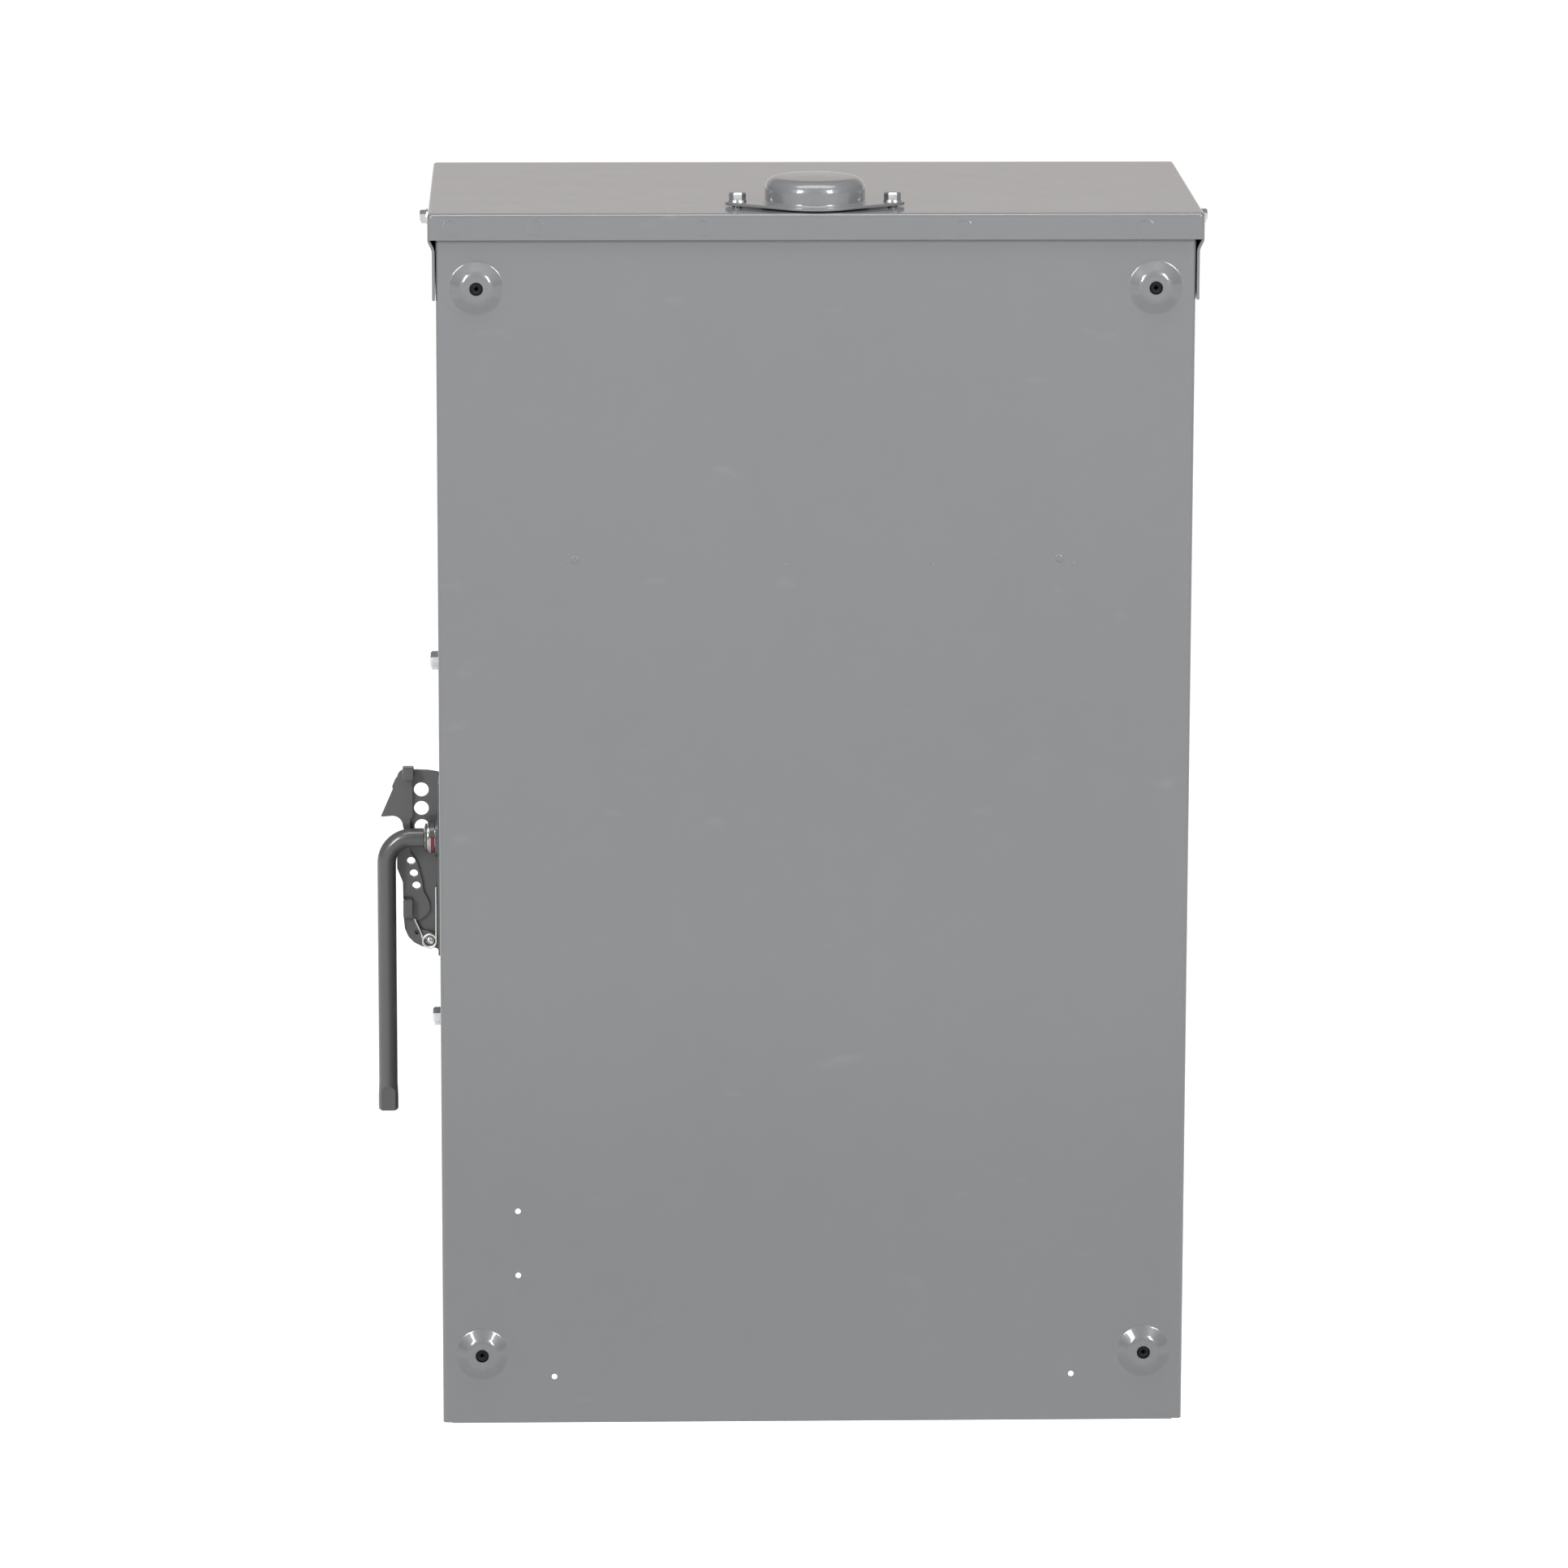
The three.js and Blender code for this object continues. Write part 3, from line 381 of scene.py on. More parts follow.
def strip(bm, loops, closed=True):
    """Quads from each loop of vertices to the next."""
    for first, second in zip(loops, loops[1:]):
        for i in range(0 if closed else 1, len(first)):
            bm.faces.new((first[i - 1], first[i], second[i], second[i - 1]))


def rings(bm, place, profile, count):
    """A surface of revolution: profile is (radius, height), and place takes (a, b, height)."""
    loops = []
    for radius, height in profile:
        if radius > 0:
            loops.append(add_loop(bm, [place(a, b, height) for a, b in circle(radius, count)]))
    strip(bm, loops)
    for end, (radius, height) in ((0, profile[0]), (-1, profile[-1])):
        if radius == 0:
            tip = bm.verts.new(place(0.0, 0.0, height))
            rim = loops[end]
            for i in range(count):
                bm.faces.new((rim[i - 1], rim[i], tip))


def add_object(name, data):
    made = bpy.data.objects.new(name, data)
    bpy.context.scene.collection.objects.link(made)
    return made


def apply_modifiers(piece):
    """Turns what the modifiers make into the piece's own plain mesh."""
    graph = bpy.context.evaluated_depsgraph_get()
    mesh = bpy.data.meshes.new_from_object(piece.evaluated_get(graph))
    piece.modifiers.clear()
    piece.data = mesh


def soften(piece, smooth):
    """Smooth shading up to an angle. Large faces keep their own flat normals."""
    piece.data.shade_smooth()
    piece.data.set_sharp_from_angle(angle=math.radians(smooth))
    weighted = piece.modifiers.new("weighted", "WEIGHTED_NORMAL")
    weighted.keep_sharp = True
    apply_modifiers(piece)


def finish_mesh(bm, name, thickness=0.0, edge=0.0, smooth=32.0, outward=None):
    """Welds, turns and scales a mesh, then gives it thickness and broken edges."""
    bmesh.ops.remove_doubles(bm, verts=bm.verts, dist=0.002)
    bmesh.ops.recalc_face_normals(bm, faces=bm.faces)
    if outward:
        point, direction = map(Vector, outward)
        nearest = min(bm.faces, key=lambda f: (f.calc_center_median() - point).length)
        if nearest.normal.dot(direction) < 0:
            bmesh.ops.reverse_faces(bm, faces=bm.faces)
    bmesh.ops.scale(bm, vec=(MM, MM, MM), verts=bm.verts)
    mesh = bpy.data.meshes.new(name)
    bm.to_mesh(mesh)
    bm.free()
    piece = add_object(name, mesh)
    if thickness:
        wall = piece.modifiers.new("wall", "SOLIDIFY")
        wall.thickness, wall.offset = thickness * MM, -1.0
        wall.use_even_offset = True
    if edge:
        broken = piece.modifiers.new("edge", "BEVEL")
        broken.width, broken.segments = edge * MM, 2
        broken.limit_method, broken.angle_limit = "ANGLE", math.radians(48)
    if thickness or edge:
        apply_modifiers(piece)
    soften(piece, smooth)
    return piece


def hand_over(piece, body, slot, *nodes, material=None):
    """Gives a piece its finish and says which parts it stands for and moves with."""
    piece.data.materials.clear()
    piece.data.materials.append(material or finishes[slot])
    if nodes:
        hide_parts(*nodes)
    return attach(piece, body)


# %% [markdown]
# ## The cabinet
# The cabinet is one blank of steel, folded round four upright bends. The bosses, where it stands
# off the wall, are pressed out of the back in one stroke: the metal leaves the panel in a tight
# curve and reaches the flat face in a wider one, with a straight cone between them.

# %% Back panel features
boss_rim, boss_face, screw_hole = 18.5, 10.5, 4.25
mounts = {m["name"]: Vector(m["pos_m"]) / MM for m in frame["record"]["mounts"]}
boss_x = mounts["boss_upper_right"].x - (boss_face + screw_hole) / 2
boss_z = mounts["boss_upper_right"].z
boss_places = [(sx * boss_x, sz * boss_z) for sx in (1, -1) for sz in (1, -1)]
side_x, low_x = half_width - 50.7, half_width - 74.6
side_rises, low_rise = (146.0, 101.8), 31.6
spare_holes = [(side_x, bottom_z + rise) for rise in side_rises]
spare_holes += [(side * low_x, bottom_z + low_rise) for side in (1, -1)]
spare_radius = 1.85
latch_heights = [centre_of(f"door_screw_{where}").z for where in ("upper", "lower")]
side_bolt_heights = [axis.z + 122.0, axis.z - 124.0]
hood_screw_y, hood_screw_z = back_y - 49.0, hood_top - 8.7
knockout_y, knockout_z = back_y - 55.0, bottom_z + 62.0


def boss_profile():
    """Slope grows over the first bend, stays, and fades over the second. Height is its sum."""
    first, second, flat, steps = 1.6, 4.5, 7.3, 40
    slopes = []
    for i in range(steps):
        along = (boss_rim - flat) * (i + 0.5) / steps
        slopes.append(min(1.0, along / first, (boss_rim - flat - along) / second))
    points, rise = [(boss_rim, 0.0)], 0.0
    for i, slope in enumerate(slopes):
        rise += slope / sum(slopes)
        points.append((boss_rim + (flat - boss_rim) * (i + 1) / steps, boss_height * rise))
    return [*points, (screw_hole + 0.3, boss_height), (screw_hole, boss_height - 0.3)]


# %% The folded shell
def upright_bend(bm, corner_x, corner_y, bend, z):
    """A quarter round between a side wall and the back or front, from z[0] to z[1]."""
    side, depth = math.copysign(1, corner_x), 1 if corner_y > front_y / 2 else -1
    flat = [(corner_x + side * a, corner_y + depth * b) for a, b in arc(bend, 0.0, quarter, 8)]
    strip(bm, [add_loop(bm, [(x, y, height) for x, y in flat]) for height in z], closed=False)


def cabinet_shell():
    bend, flange, header = 3.2, 22.0, 36.0
    z = (bottom_z, shell_high.z)
    x = half_width - bend
    y = (front_y + bend, back_y - bend)
    bm = bmesh.new()
    rims = [circle(boss_rim, 72, place) for place in boss_places]
    spares = [circle(spare_radius, 20, place) for place in spare_holes]
    flat_face(bm, lambda a, b: Vector((a, back_y, b)), rectangle((-x, x), z), rims + spares)
    for bx, bz in boss_places:
        rings(bm, lambda a, b, h: Vector((bx + a, back_y + h, bz + b)), boss_profile(), 72)
    window_x = half_width - flange
    window = rectangle((-window_x, window_x), (bottom_z + flange, hood_top - header))
    knob_x = half_width - 11.0
    latches = [circle(3.7, 24, (knob_x, latch_z)) for latch_z in latch_heights]
    front = rectangle((-x, x), z)
    flat_face(bm, lambda a, b: Vector((a, front_y, b)), front, [window, *latches])
    hood_screw = circle(2.9, 20, (hood_screw_y, hood_screw_z))
    shaft = circle(8.5, 40, (axis.y, axis.z))
    bolts = [circle(3.5, 20, (axis.y, bolt_z)) for bolt_z in side_bolt_heights]
    wall = rectangle(y, z)
    flat_face(bm, lambda a, b: Vector((half_width, a, b)), wall, [hood_screw, shaft, *bolts])
    disc = circle(30.0, 64, (knockout_y, knockout_z))
    flat_face(bm, lambda a, b: Vector((-half_width, a, b)), wall, [hood_screw, disc])
    profile = [(30.0, 0.0), (29.5, -0.8), (29.0, 0.7), (22.9, 0.7), (22.5, 0.0), (22.1, 0.7)]
    profile += [(17.4, 0.7), (17.0, 0.0), (16.6, 0.7), (0, 0.7)]
    rings(
        bm,
        lambda a, b, h: Vector((-half_width - h, knockout_y + a, knockout_z + b)),
        profile,
        64,
    )
    for corner_x in (-x, x):
        for corner_y in y:
            upright_bend(bm, corner_x, corner_y, bend, z)
    outward = ((0.0, back_y, 0.0), (0.0, 1.0, 0.0))
    shell = finish_mesh(bm, "folded_shell", sheet, 0.25, outward=outward)
    return hand_over(shell, "case", "grey_paint", "body_shell")


folded_shell = cabinet_shell()
print("folded shell has", len(folded_shell.data.polygons), "faces")

# %% [markdown]
# ## The hood
# The hood is a shallow tray, upside down. Its top runs over a rolled bend into the flanges, and at
# both sides the flange steps inwards, a joggle, and goes on down as a leg beside the cabinet.
# Stacked outlines, each a little lower and wider, make the bend as a lathe would.


# %% Hood
def tray_outline(half_x, y, corner, stops):
    """A rectangle with round corners, and extra points where the legs begin and end."""
    centres = [(half_x, y[1], 0), (-half_x, y[1], 90), (-half_x, y[0], 180), (half_x, y[0], 270)]
    points = []
    for cx, cy, start in centres:
        ax, ay = cx - math.copysign(corner, cx), cy - math.copysign(corner, cy - sum(y) / 2)
        begin = math.radians(start)
        points += arc(corner, begin, begin + quarter, 6, (ax, ay))
        if start == 90:
            points += [(cx, stops[1]), (cx, stops[0])]
        if start == 270:
            points += [(cx, stops[0]), (cx, stops[1])]
    return points


def rain_hood():
    half_x = hood_high.x
    y = (hood_low.y, hood_high.y)
    bend, corner, joggle, leg_drop = 2.6, 3.4, 8.5, 57.5
    flange_end = hood_top - hood_flange
    leg_y = (front_y + 20.0, hood_high.y - 4.0)
    leg_x = half_width + 0.4 + sheet + 0.1
    bm = bmesh.new()
    loops = []
    for across, up in arc(bend, 0.0, quarter, 8):
        inset, drop = bend - up, bend - across
        sides = (y[0] + inset, y[1] - inset)
        outline = tray_outline(half_x - inset, sides, corner - inset, leg_y)
        loops.append((outline, hood_top - drop))
    loops.append((tray_outline(half_x, y, corner, leg_y), flange_end))
    strip(bm, [add_loop(bm, [(a, b, z) for a, b in outline]) for outline, z in loops])
    holes = [circle(29.0, 56, (0.0, hub_y))]
    holes += [circle(3.5, 20, (side * hub_screw_x, hub_y)) for side in (-1, 1)]
    flat_face(bm, lambda a, b: Vector((a, b, hood_top)), loops[0][0], holes)
    leg = [(half_x, flange_end)]
    for share in (i / 8 for i in range(1, 9)):
        ease = share * share * (3 - 2 * share)
        leg.append((half_x + (leg_x - half_x) * ease, flange_end - joggle * share))
    leg.append((leg_x, hood_top - leg_drop))
    for side in (-1, 1):
        edges = [add_loop(bm, [(side * px, at, pz) for px, pz in leg]) for at in leg_y]
        strip(bm, edges, closed=False)
    outward = ((0.0, 0.8 * hood_low.y, hood_top), (0.0, 0.0, 1.0))
    hood = finish_mesh(bm, "rolled_hood", sheet, 0.3, outward=outward)
    return hand_over(hood, "case", "grey_paint", "rain_hood")


hood_flange = 17.4
hub_low, hub_high = box_of("hub_cap")
hub_y = centre_of("hub_cap").y
hub_screw_x = centre_of("hub_screw_right").x
rain_hood()
print("hood flange ends at", round(hood_top - hood_flange, 1), "mm")

# %% [markdown]
# ## The closing cap of the conduit hub
# A pressed cap closes the hood's conduit opening. It is one surface again: a flat plate with two
# tapered ears, a small fillet, a straight wall, and a generous round up to a slightly domed top.


# %% Hub cap
def eared_outline(disc, ear, reach):
    """A disc and two ears, joined by their common tangents."""
    lean = math.acos((disc - ear) / reach)
    arcs = [
        (ear, -lean, lean, reach),
        (disc, lean, math.pi - lean, 0.0),
        (ear, math.pi - lean, math.pi + lean, -reach),
        (disc, math.pi + lean, 2 * math.pi - lean, 0.0),
    ]
    return [spot for size, start, end, x in arcs for spot in arc(size, start, end, 16, (x, 0.0))]


def hub_cap():
    plate_z = hub_low.z + cap_sheet
    wall = (hub_high.y - hub_low.y) / 2 - 2.4
    fillet, crown, dome = 2.0, 8.5, 0.8
    top = hub_high.z - plate_z
    profile = arc(fillet, -quarter, -math.pi, 6, (wall + fillet, fillet))
    profile += arc(crown, 0.0, quarter, 10, (wall - crown, top - dome - crown))
    for share in (0.75, 0.5, 0.25, 0.0):
        profile.append(((wall - crown) * share, top - dome * share * share))
    bm = bmesh.new()
    outline = eared_outline(profile[0][0] + 0.4, 8.0, hub_screw_x)
    holes = [circle(3.5, 20, (side * hub_screw_x, 0.0)) for side in (-1, 1)]
    holes.append(circle(profile[0][0], 72))
    flat_face(bm, lambda a, b: Vector((a, hub_y + b, plate_z)), outline, holes)
    rings(bm, lambda a, b, h: Vector((a, hub_y + b, plate_z + h)), profile, 72)
    outward = ((0.0, hub_y, hub_high.z), (0.0, 0.0, 1.0))
    cap = finish_mesh(bm, "pressed_cap", cap_sheet, 0.35, outward=outward)
    return hand_over(cap, "case", "grey_paint", "hub_cap")


cap_sheet = 2.0
hub_cap()
print("cap stands", round(hub_high.z - hood_top, 1), "mm above the hood")

# %% [markdown]
# ## Turned parts
# Washers, seals, the shaft and the rivet are bodies of revolution. One function turns a closed
# profile about any axis. A profile is (radius, height) in millimetres from the given centre.

# %% Turned parts
axis_orders = {"x": (2, 0, 1), "y": (0, 2, 1), "z": (0, 1, 2)}


def turned(name, direction, centre, profile, count=48, edge=0.25):
    bm = bmesh.new()
    order = axis_orders[direction]
    rings(bm, lambda *abh: centre + Vector([abh[i] for i in order]), profile, count)
    return finish_mesh(bm, name, edge=edge)


def ring_profile(outer, inner, low, high):
    return [(inner, low), (outer, low), (outer, high), (inner, high), (inner, low)]


def grommets():
    """Rubber seals in the mounting holes. Each is a top hat with a small screw opening."""
    nose, seat = screw_hole - 0.3, -sheet - 0.3
    for side, bx in (("right", boss_x), ("left", -boss_x)):
        for where, bz in (("upper", boss_z), ("lower", -boss_z)):
            profile = [(1.3, -1.6), (nose - 0.9, -0.7), (nose, -1.0), (nose, seat), (7.0, seat)]
            profile += [(7.0, seat - 2.4), (1.3, seat - 2.4), (1.3, -1.6)]
            name = f"{where}_{side}_seal"
            seal = turned(name, "y", Vector((bx, 0.0, bz)), profile, 36)
            hand_over(seal, "case", "rubber", f"grommet_{where}_{side}")


def gasket():
    low, high = box_of("hub_gasket")
    centre = Vector((0.0, hub_y, 0.0))
    ring = turned("cap_seal", "z", centre, ring_profile(34.7, 30.0, low.z, high.z), 64)
    hand_over(ring, "case", "rubber", "hub_gasket")


def handle_hub():
    """Shaft, bright washer and red position indicator on the handle's axis."""
    shaft_low, shaft_high = box_of("drive_shaft")
    centre = Vector((0.0, axis.y, axis.z))
    ends = [(0, shaft_low.x), (7.4, shaft_low.x), (8.0, shaft_low.x + 0.6)]
    ends += [(8.0, shaft_high.x - 0.4), (7.6, shaft_high.x), (0, shaft_high.x)]
    shaft = turned("turned_shaft", "x", centre, ends, edge=0)
    hand_over(shaft, "handle", "zinc_plate", "drive_shaft")
    low, high = box_of("hub_washer")
    washer = turned("spring_washer", "x", centre, ring_profile(10.4, 8.3, low.x, low.x + 1.1))
    cup = turned("cup_washer", "x", centre, ring_profile(9.6, 8.3, low.x + 1.4, high.x))
    hand_over(washer, "handle", "zinc_plate", "hub_washer")
    hand_over(cup, "handle", "dark_grey_paint")
    low, high = box_of("position_indicator")
    disc = turned("indicator_ring", "x", centre, ring_profile(10.2, 8.5, low.x, high.x))
    hand_over(disc, "case", "red_plastic", "position_indicator")


grommets()
gasket()
handle_hub()

# %% [markdown]
# ## The handle
# The handle is a half-inch rod, bent once to a right angle and pressed flat at its tip. It is a
# stack of rings along the bent path. Near the tip each ring is clipped to the pressed thickness
# and spreads a little sideways, because the metal has to go somewhere.


# %% Bent rod
def bent_rod():
    bend, pressed, blunt = 17.5, 4.5, 1.7
    low, _ = box_of("handle_rod")
    rod_x = half_width + 37.7
    tip_z = low.z
    stations = [((low.x + d, axis.z), 0.0) for d in (0.0, 0.5, 6.0)]
    for i in range(15):
        angle = quarter * i / 14
        x = rod_x - bend + bend * math.sin(angle)
        stations.append(((x, axis.z - bend + bend * math.cos(angle)), angle))
    heights = [axis.z - 60.0, axis.z - 120.0, tip_z + 26.0, tip_z + 22.0]
    heights += [tip_z + 19.0 - 0.5 * i for i in range(14)]
    heights += [tip_z + d for d in (10.0, 6.0, 2.4, 1.7, 1.1, 0.5, 0.15, 0.0)]
    stations += [((rod_x, z), quarter) for z in heights]
    bm = bmesh.new()
    loops = []
    for (x, z), angle in stations:
        above_tip = z - tip_z if angle == quarter and x == rod_x else 99.0
        press = min(1.0, max(0.0, (18.0 - above_tip) / 3.6))
        limit = rod_radius + (pressed - rod_radius) * press * press * (3 - 2 * press)
        spread = 1 + 0.065 * min(1.0, max(0.0, (19.0 - above_tip) / 9.0))
        end = min(1.0, above_tip / blunt)
        inset = blunt * (1 - math.sqrt(max(0.0, 1 - (1 - end) ** 2)))
        if (x, z) == stations[0][0]:
            inset = 0.5
        narrow = 1 - inset / rod_radius
        loop = []
        for a, b in circle(rod_radius, 48):
            if angle == 0.0:
                place = (x, axis.y + b * narrow, z + a * narrow)
            elif angle < quarter:
                place = (x + a * math.sin(angle), axis.y + b, z + a * math.cos(angle))
            else:
                deep = max(-limit, min(limit, b)) * (1 - 0.8 * inset / rod_radius)
                place = (x + a * spread * narrow, axis.y + deep, z)
            loop.append(bm.verts.new(place))
        loops.append(loop)
    strip(bm, loops)
    bm.faces.new(loops[0])
    bm.faces.new(loops[-1])
    rod = finish_mesh(bm, "bent_rod", smooth=40)
    return hand_over(rod, "handle", "dark_grey_paint", "handle_rod")


rod_radius = 6.35
bent_rod()

# %% [markdown]
# ## Lock plate and lock lever
# Both are laser-cut plates that lie one on the other. Their outlines are given as corners, out
# from the side wall and up from the handle's axis, and every corner is eased by a short curve,
# as a cut and painted plate has no needle-sharp points.


# %% Cut plates
def on_side(out, up):
    return half_width + out, axis.z + up


def eased(points, reach=0.9):
    """Replaces every corner by a short curve that starts and ends at most reach away."""
    smooth = []
    for i, corner in enumerate(points):
        here = Vector(corner)
        before, after = Vector(points[i - 1]), Vector(points[(i + 1) % len(points)])
        start = here + (before - here).normalized() * min(reach, (before - here).length * 0.45)
        end = here + (after - here).normalized() * min(reach, (after - here).length * 0.45)
        for share in (0.0, 0.35, 0.65, 1.0):
            first, second = start.lerp(here, share), here.lerp(end, share)
            smooth.append(tuple(first.lerp(second, share)))
    return smooth


def cut_plate(bm, corners, holes, rear_y, thickness):
    """Both faces and the rim of a plate that lies across Y."""
    outline = eased([on_side(*corner) for corner in corners])
    cuts = [circle(radius, 32, on_side(out, up)) for out, up, radius in holes]
    for y in (rear_y, rear_y - thickness):
        flat_face(bm, lambda a, b: Vector((a, y, b)), outline, cuts)
    for flat in (outline, *cuts):
        walls = [add_loop(bm, [(a, y, b) for a, b in flat]) for y in (rear_y, rear_y - thickness)]
        strip(bm, walls)


def solid_block(name, corners, edge):
    """The hull of its corners, with broken edges."""
    bm = bmesh.new()
    bmesh.ops.convex_hull(bm, input=[bm.verts.new(corner) for corner in corners])
    return finish_mesh(bm, name, edge=edge)


padlock_holes = [(14.1, 30.8, 5.0), (14.1, 18.0, 5.0), (13.8, 5.4, 5.0)]
seal_holes = [(21.3, -18.1, 2.85), (19.5, -26.7, 2.85), (17.8, -35.2, 2.85)]
rivet = (9.0, -72.7)
lever_hole = (*rivet, 2.6)
lever_thick, plate_thick = 2.4, 2.6
lever_rear = axis.y - rod_radius - 1.6
plate_rear = lever_rear - lever_thick - 0.4


# %% Lock plate
def lock_plate():
    corners = [(0.3, -83.6), (2.7, -83.4), (3.5, -79.7), (13.7, -75.9), (19, -72.6), (23.4, -66)]
    corners += [(24.6, -57), (25, -32), (28, -20), (26, -10), (24.5, 5), (26, 20), (33.1, 30.6)]
    corners += [(33.9, 33), (31.5, 38.5), (27, 43.4), (18.7, 44.6), (9.9, 44.3), (2.5, 43)]
    corners += [(0.3, 42)]
    bm = bmesh.new()
    holes = [*padlock_holes, *seal_holes, lever_hole]
    cut_plate(bm, corners, holes, plate_rear, plate_thick)
    plate = finish_mesh(bm, "lock_plate", edge=0.35)
    hand_over(plate, "case", "dark_grey_paint", "handle_base")
    side = [(plate_rear - 2.4, -83.6), (plate_rear, -83.6), (axis.y + 24.0, -76.6)]
    side += [(axis.y + 24.0, 42.0), (plate_rear - 2.4, 42.0)]
    ends = (half_width + 0.3, half_width + 2.7)
    foot_corners = [(x, y, axis.z + up) for x in ends for y, up in side]
    foot = solid_block("lock_plate_flange", foot_corners, 0.6)
    hand_over(foot, "case", "dark_grey_paint")
    centre = Vector((0.0, axis.y, axis.z))
    ends = (half_width + 2.4, half_width + 4.6)
    bearing = turned("handle_bearing", "x", centre, ring_profile(13.0, 8.5, *ends))
    hand_over(bearing, "case", "dark_grey_paint")


# %% Lock lever
def lock_lever():
    hook = arc(7, quarter, math.pi, 6, (33.7, 6.4))
    boss = arc(5.8, -quarter, -3 * quarter, 8, rivet)
    corners = [(20, 41.5), (20.6, 43.8), (27, 45), (29.5, 43), (33, 32.6), (41, 14.2)]
    corners += [(41.5, 13.2), (40.8, 12.8), *hook, (26.1, 4), (25.1, 1.5), (25.1, -2)]
    corners += [(26.4, -5), (28.4, -8.6), (30.2, -13), (30.8, -16), (30.8, -23), (27, -32.6)]
    corners += [(26.6, -57), (25.9, -64.8), (23.5, -70.5), (19.6, -74.6), (14, -77.4), *boss]
    corners += [(13.6, -66), (18.6, -62), (18.2, -59.6), (14.6, -57.9), (10.6, -54.7)]
    corners += [(8.6, -50.8), (9.5, -45.7), (13.2, -38.2), (14.2, -30), (17.4, -18)]
    corners += [(21.8, -12), (21.8, 11), (20, 13)]
    bm = bmesh.new()
    holes = [*seal_holes, lever_hole, (17.5, -67.4, 1.7)]
    cut_plate(bm, corners, holes, lever_rear, lever_thick)
    lever = finish_mesh(bm, "latch_lever", edge=0.35)
    hand_over(lever, "lever", "dark_grey_paint", "lock_lever")
    for name, (out_low, up_low), (out_high, up_high), reach in (
        ("finger_tab", (18.9, 39.2), (26.6, 48.0), 8.0),
        ("spring_tab", (20.2, -56.4), (26.8, -43.3), 6.0),
    ):
        x = (half_width + out_low, half_width + out_high)
        y = (lever_rear - 0.6, lever_rear + reach)
        z = (axis.z + up_low, axis.z + up_high)
        tab = solid_block(name, [(a, b, c) for a in x for b in y for c in z], 0.9)
        hand_over(tab, "lever", "dark_grey_paint")


lock_plate()
lock_lever()

# %% [markdown]
# ## Repeats with Geometry Nodes
# Screws, domes and plates occur many times. Each kind is one tree: it draws the shape once from
# named sizes, sets a copy on every point that the mesh holds, and makes the copies real. The same
# tree then serves every size on the object.


# %% A tree for repeats
class Repeat(Graph):
    """A geometry tree with named float inputs and a turn."""

    def __init__(self, name, sizes):
        super().__init__(bpy.data.node_groups.new(name, "GeometryNodeTree"))
        face = self.tree.interface
        face.new_socket("Geometry", in_out="OUTPUT", socket_type="NodeSocketGeometry")
        kinds = {"Geometry": "Geometry", **dict.fromkeys(sizes, "Float"), "Turn": "Vector"}
        for label, kind in kinds.items():
            face.new_socket(label, in_out="INPUT", socket_type=f"NodeSocket{kind}")
        inputs = [s for s in face.items_tree if s.in_out == "INPUT"]
        self.identifiers = {s.name: s.identifier for s in inputs}
        self.entry = self.tree.nodes.new("NodeGroupInput")

    def size(self, label):
        return Signal(self, self.entry.outputs[label])

    def cone(self, sides, bottom, top, depth, lift):
        sockets = {"Vertices": sides, "Radius Bottom": bottom, "Radius Top": top, "Depth": depth}
        shape = self.node("GeometryNodeMeshCone", sockets, output="Mesh")
        offset = self.node("ShaderNodeCombineXYZ", {"Z": lift})
        return self.node("GeometryNodeTransform", {"Geometry": shape, "Translation": offset})

    def join(self, *shapes):
        made = self.tree.nodes.new("GeometryNodeJoinGeometry")
        for shape in reversed(shapes):
            self.tree.links.new(shape.socket, made.inputs[0])
        return Signal(self, made.outputs[0])

    def close(self, shape):
        """Makes what the tree has built real and puts it out."""
        real = self.node("GeometryNodeRealizeInstances", {"Geometry": shape})
        self.tree.links.new(real.socket, self.tree.nodes.new("NodeGroupOutput").inputs[0])
        return self

    def close_on_points(self, shape):
        """Sets a turned copy of the shape on every point first."""
        turn = self.node("FunctionNodeEulerToRotation", {0: self.size("Turn")})
        sockets = {"Points": self.size("Geometry"), "Instance": shape, "Rotation": turn}
        return self.close(self.node("GeometryNodeInstanceOnPoints", sockets))


screw_sizes = ["Corner", "Head", "Flange", "Washer", "Shank", "Length"]


def hex_screw_tree():
    tree = Repeat("hex_screws", screw_sizes)
    corner, head, flange, washer, shank, length = map(tree.size, screw_sizes)
    disc = tree.cone(40, flange, flange * 0.94, washer, 0.0)
    prism = tree.cone(6, corner, corner, head * 0.8, washer)
    shoulder = tree.cone(6, corner, corner * 0.84, head * 0.2, washer + head * 0.8)
    dimple = tree.cone(24, corner * 0.60, corner * 0.5, head * 0.05, washer + head)
    stem = tree.cone(20, shank, shank, length, 0.0 - length)
    return tree.close_on_points(tree.join(disc, prism, shoulder, dimple, stem))


def dome_tree():
    tree = Repeat("domes", ["Radius", "Height"])
    ball = {"Segments": 24, "Rings": 12, "Radius": 1.0}
    shape = tree.node("GeometryNodeMeshUVSphere", ball, output="Mesh")
    radius = tree.size("Radius")
    sockets = {"X": radius, "Y": radius, "Z": tree.size("Height")}
    scale = tree.node("ShaderNodeCombineXYZ", sockets)
    scaled = tree.node("GeometryNodeTransform", {0: shape, "Scale": scale})
    return tree.close_on_points(scaled)


def plate_tree():
    tree = Repeat("plates", ["Wide", "Deep", "Thick"])
    sockets = {"X": tree.size("Wide"), "Y": tree.size("Deep"), "Z": tree.size("Thick")}
    size = tree.node("ShaderNodeCombineXYZ", sockets)
    shape = tree.node("GeometryNodeMeshCube", {"Size": size}, output="Mesh")
    return tree.close_on_points(shape)


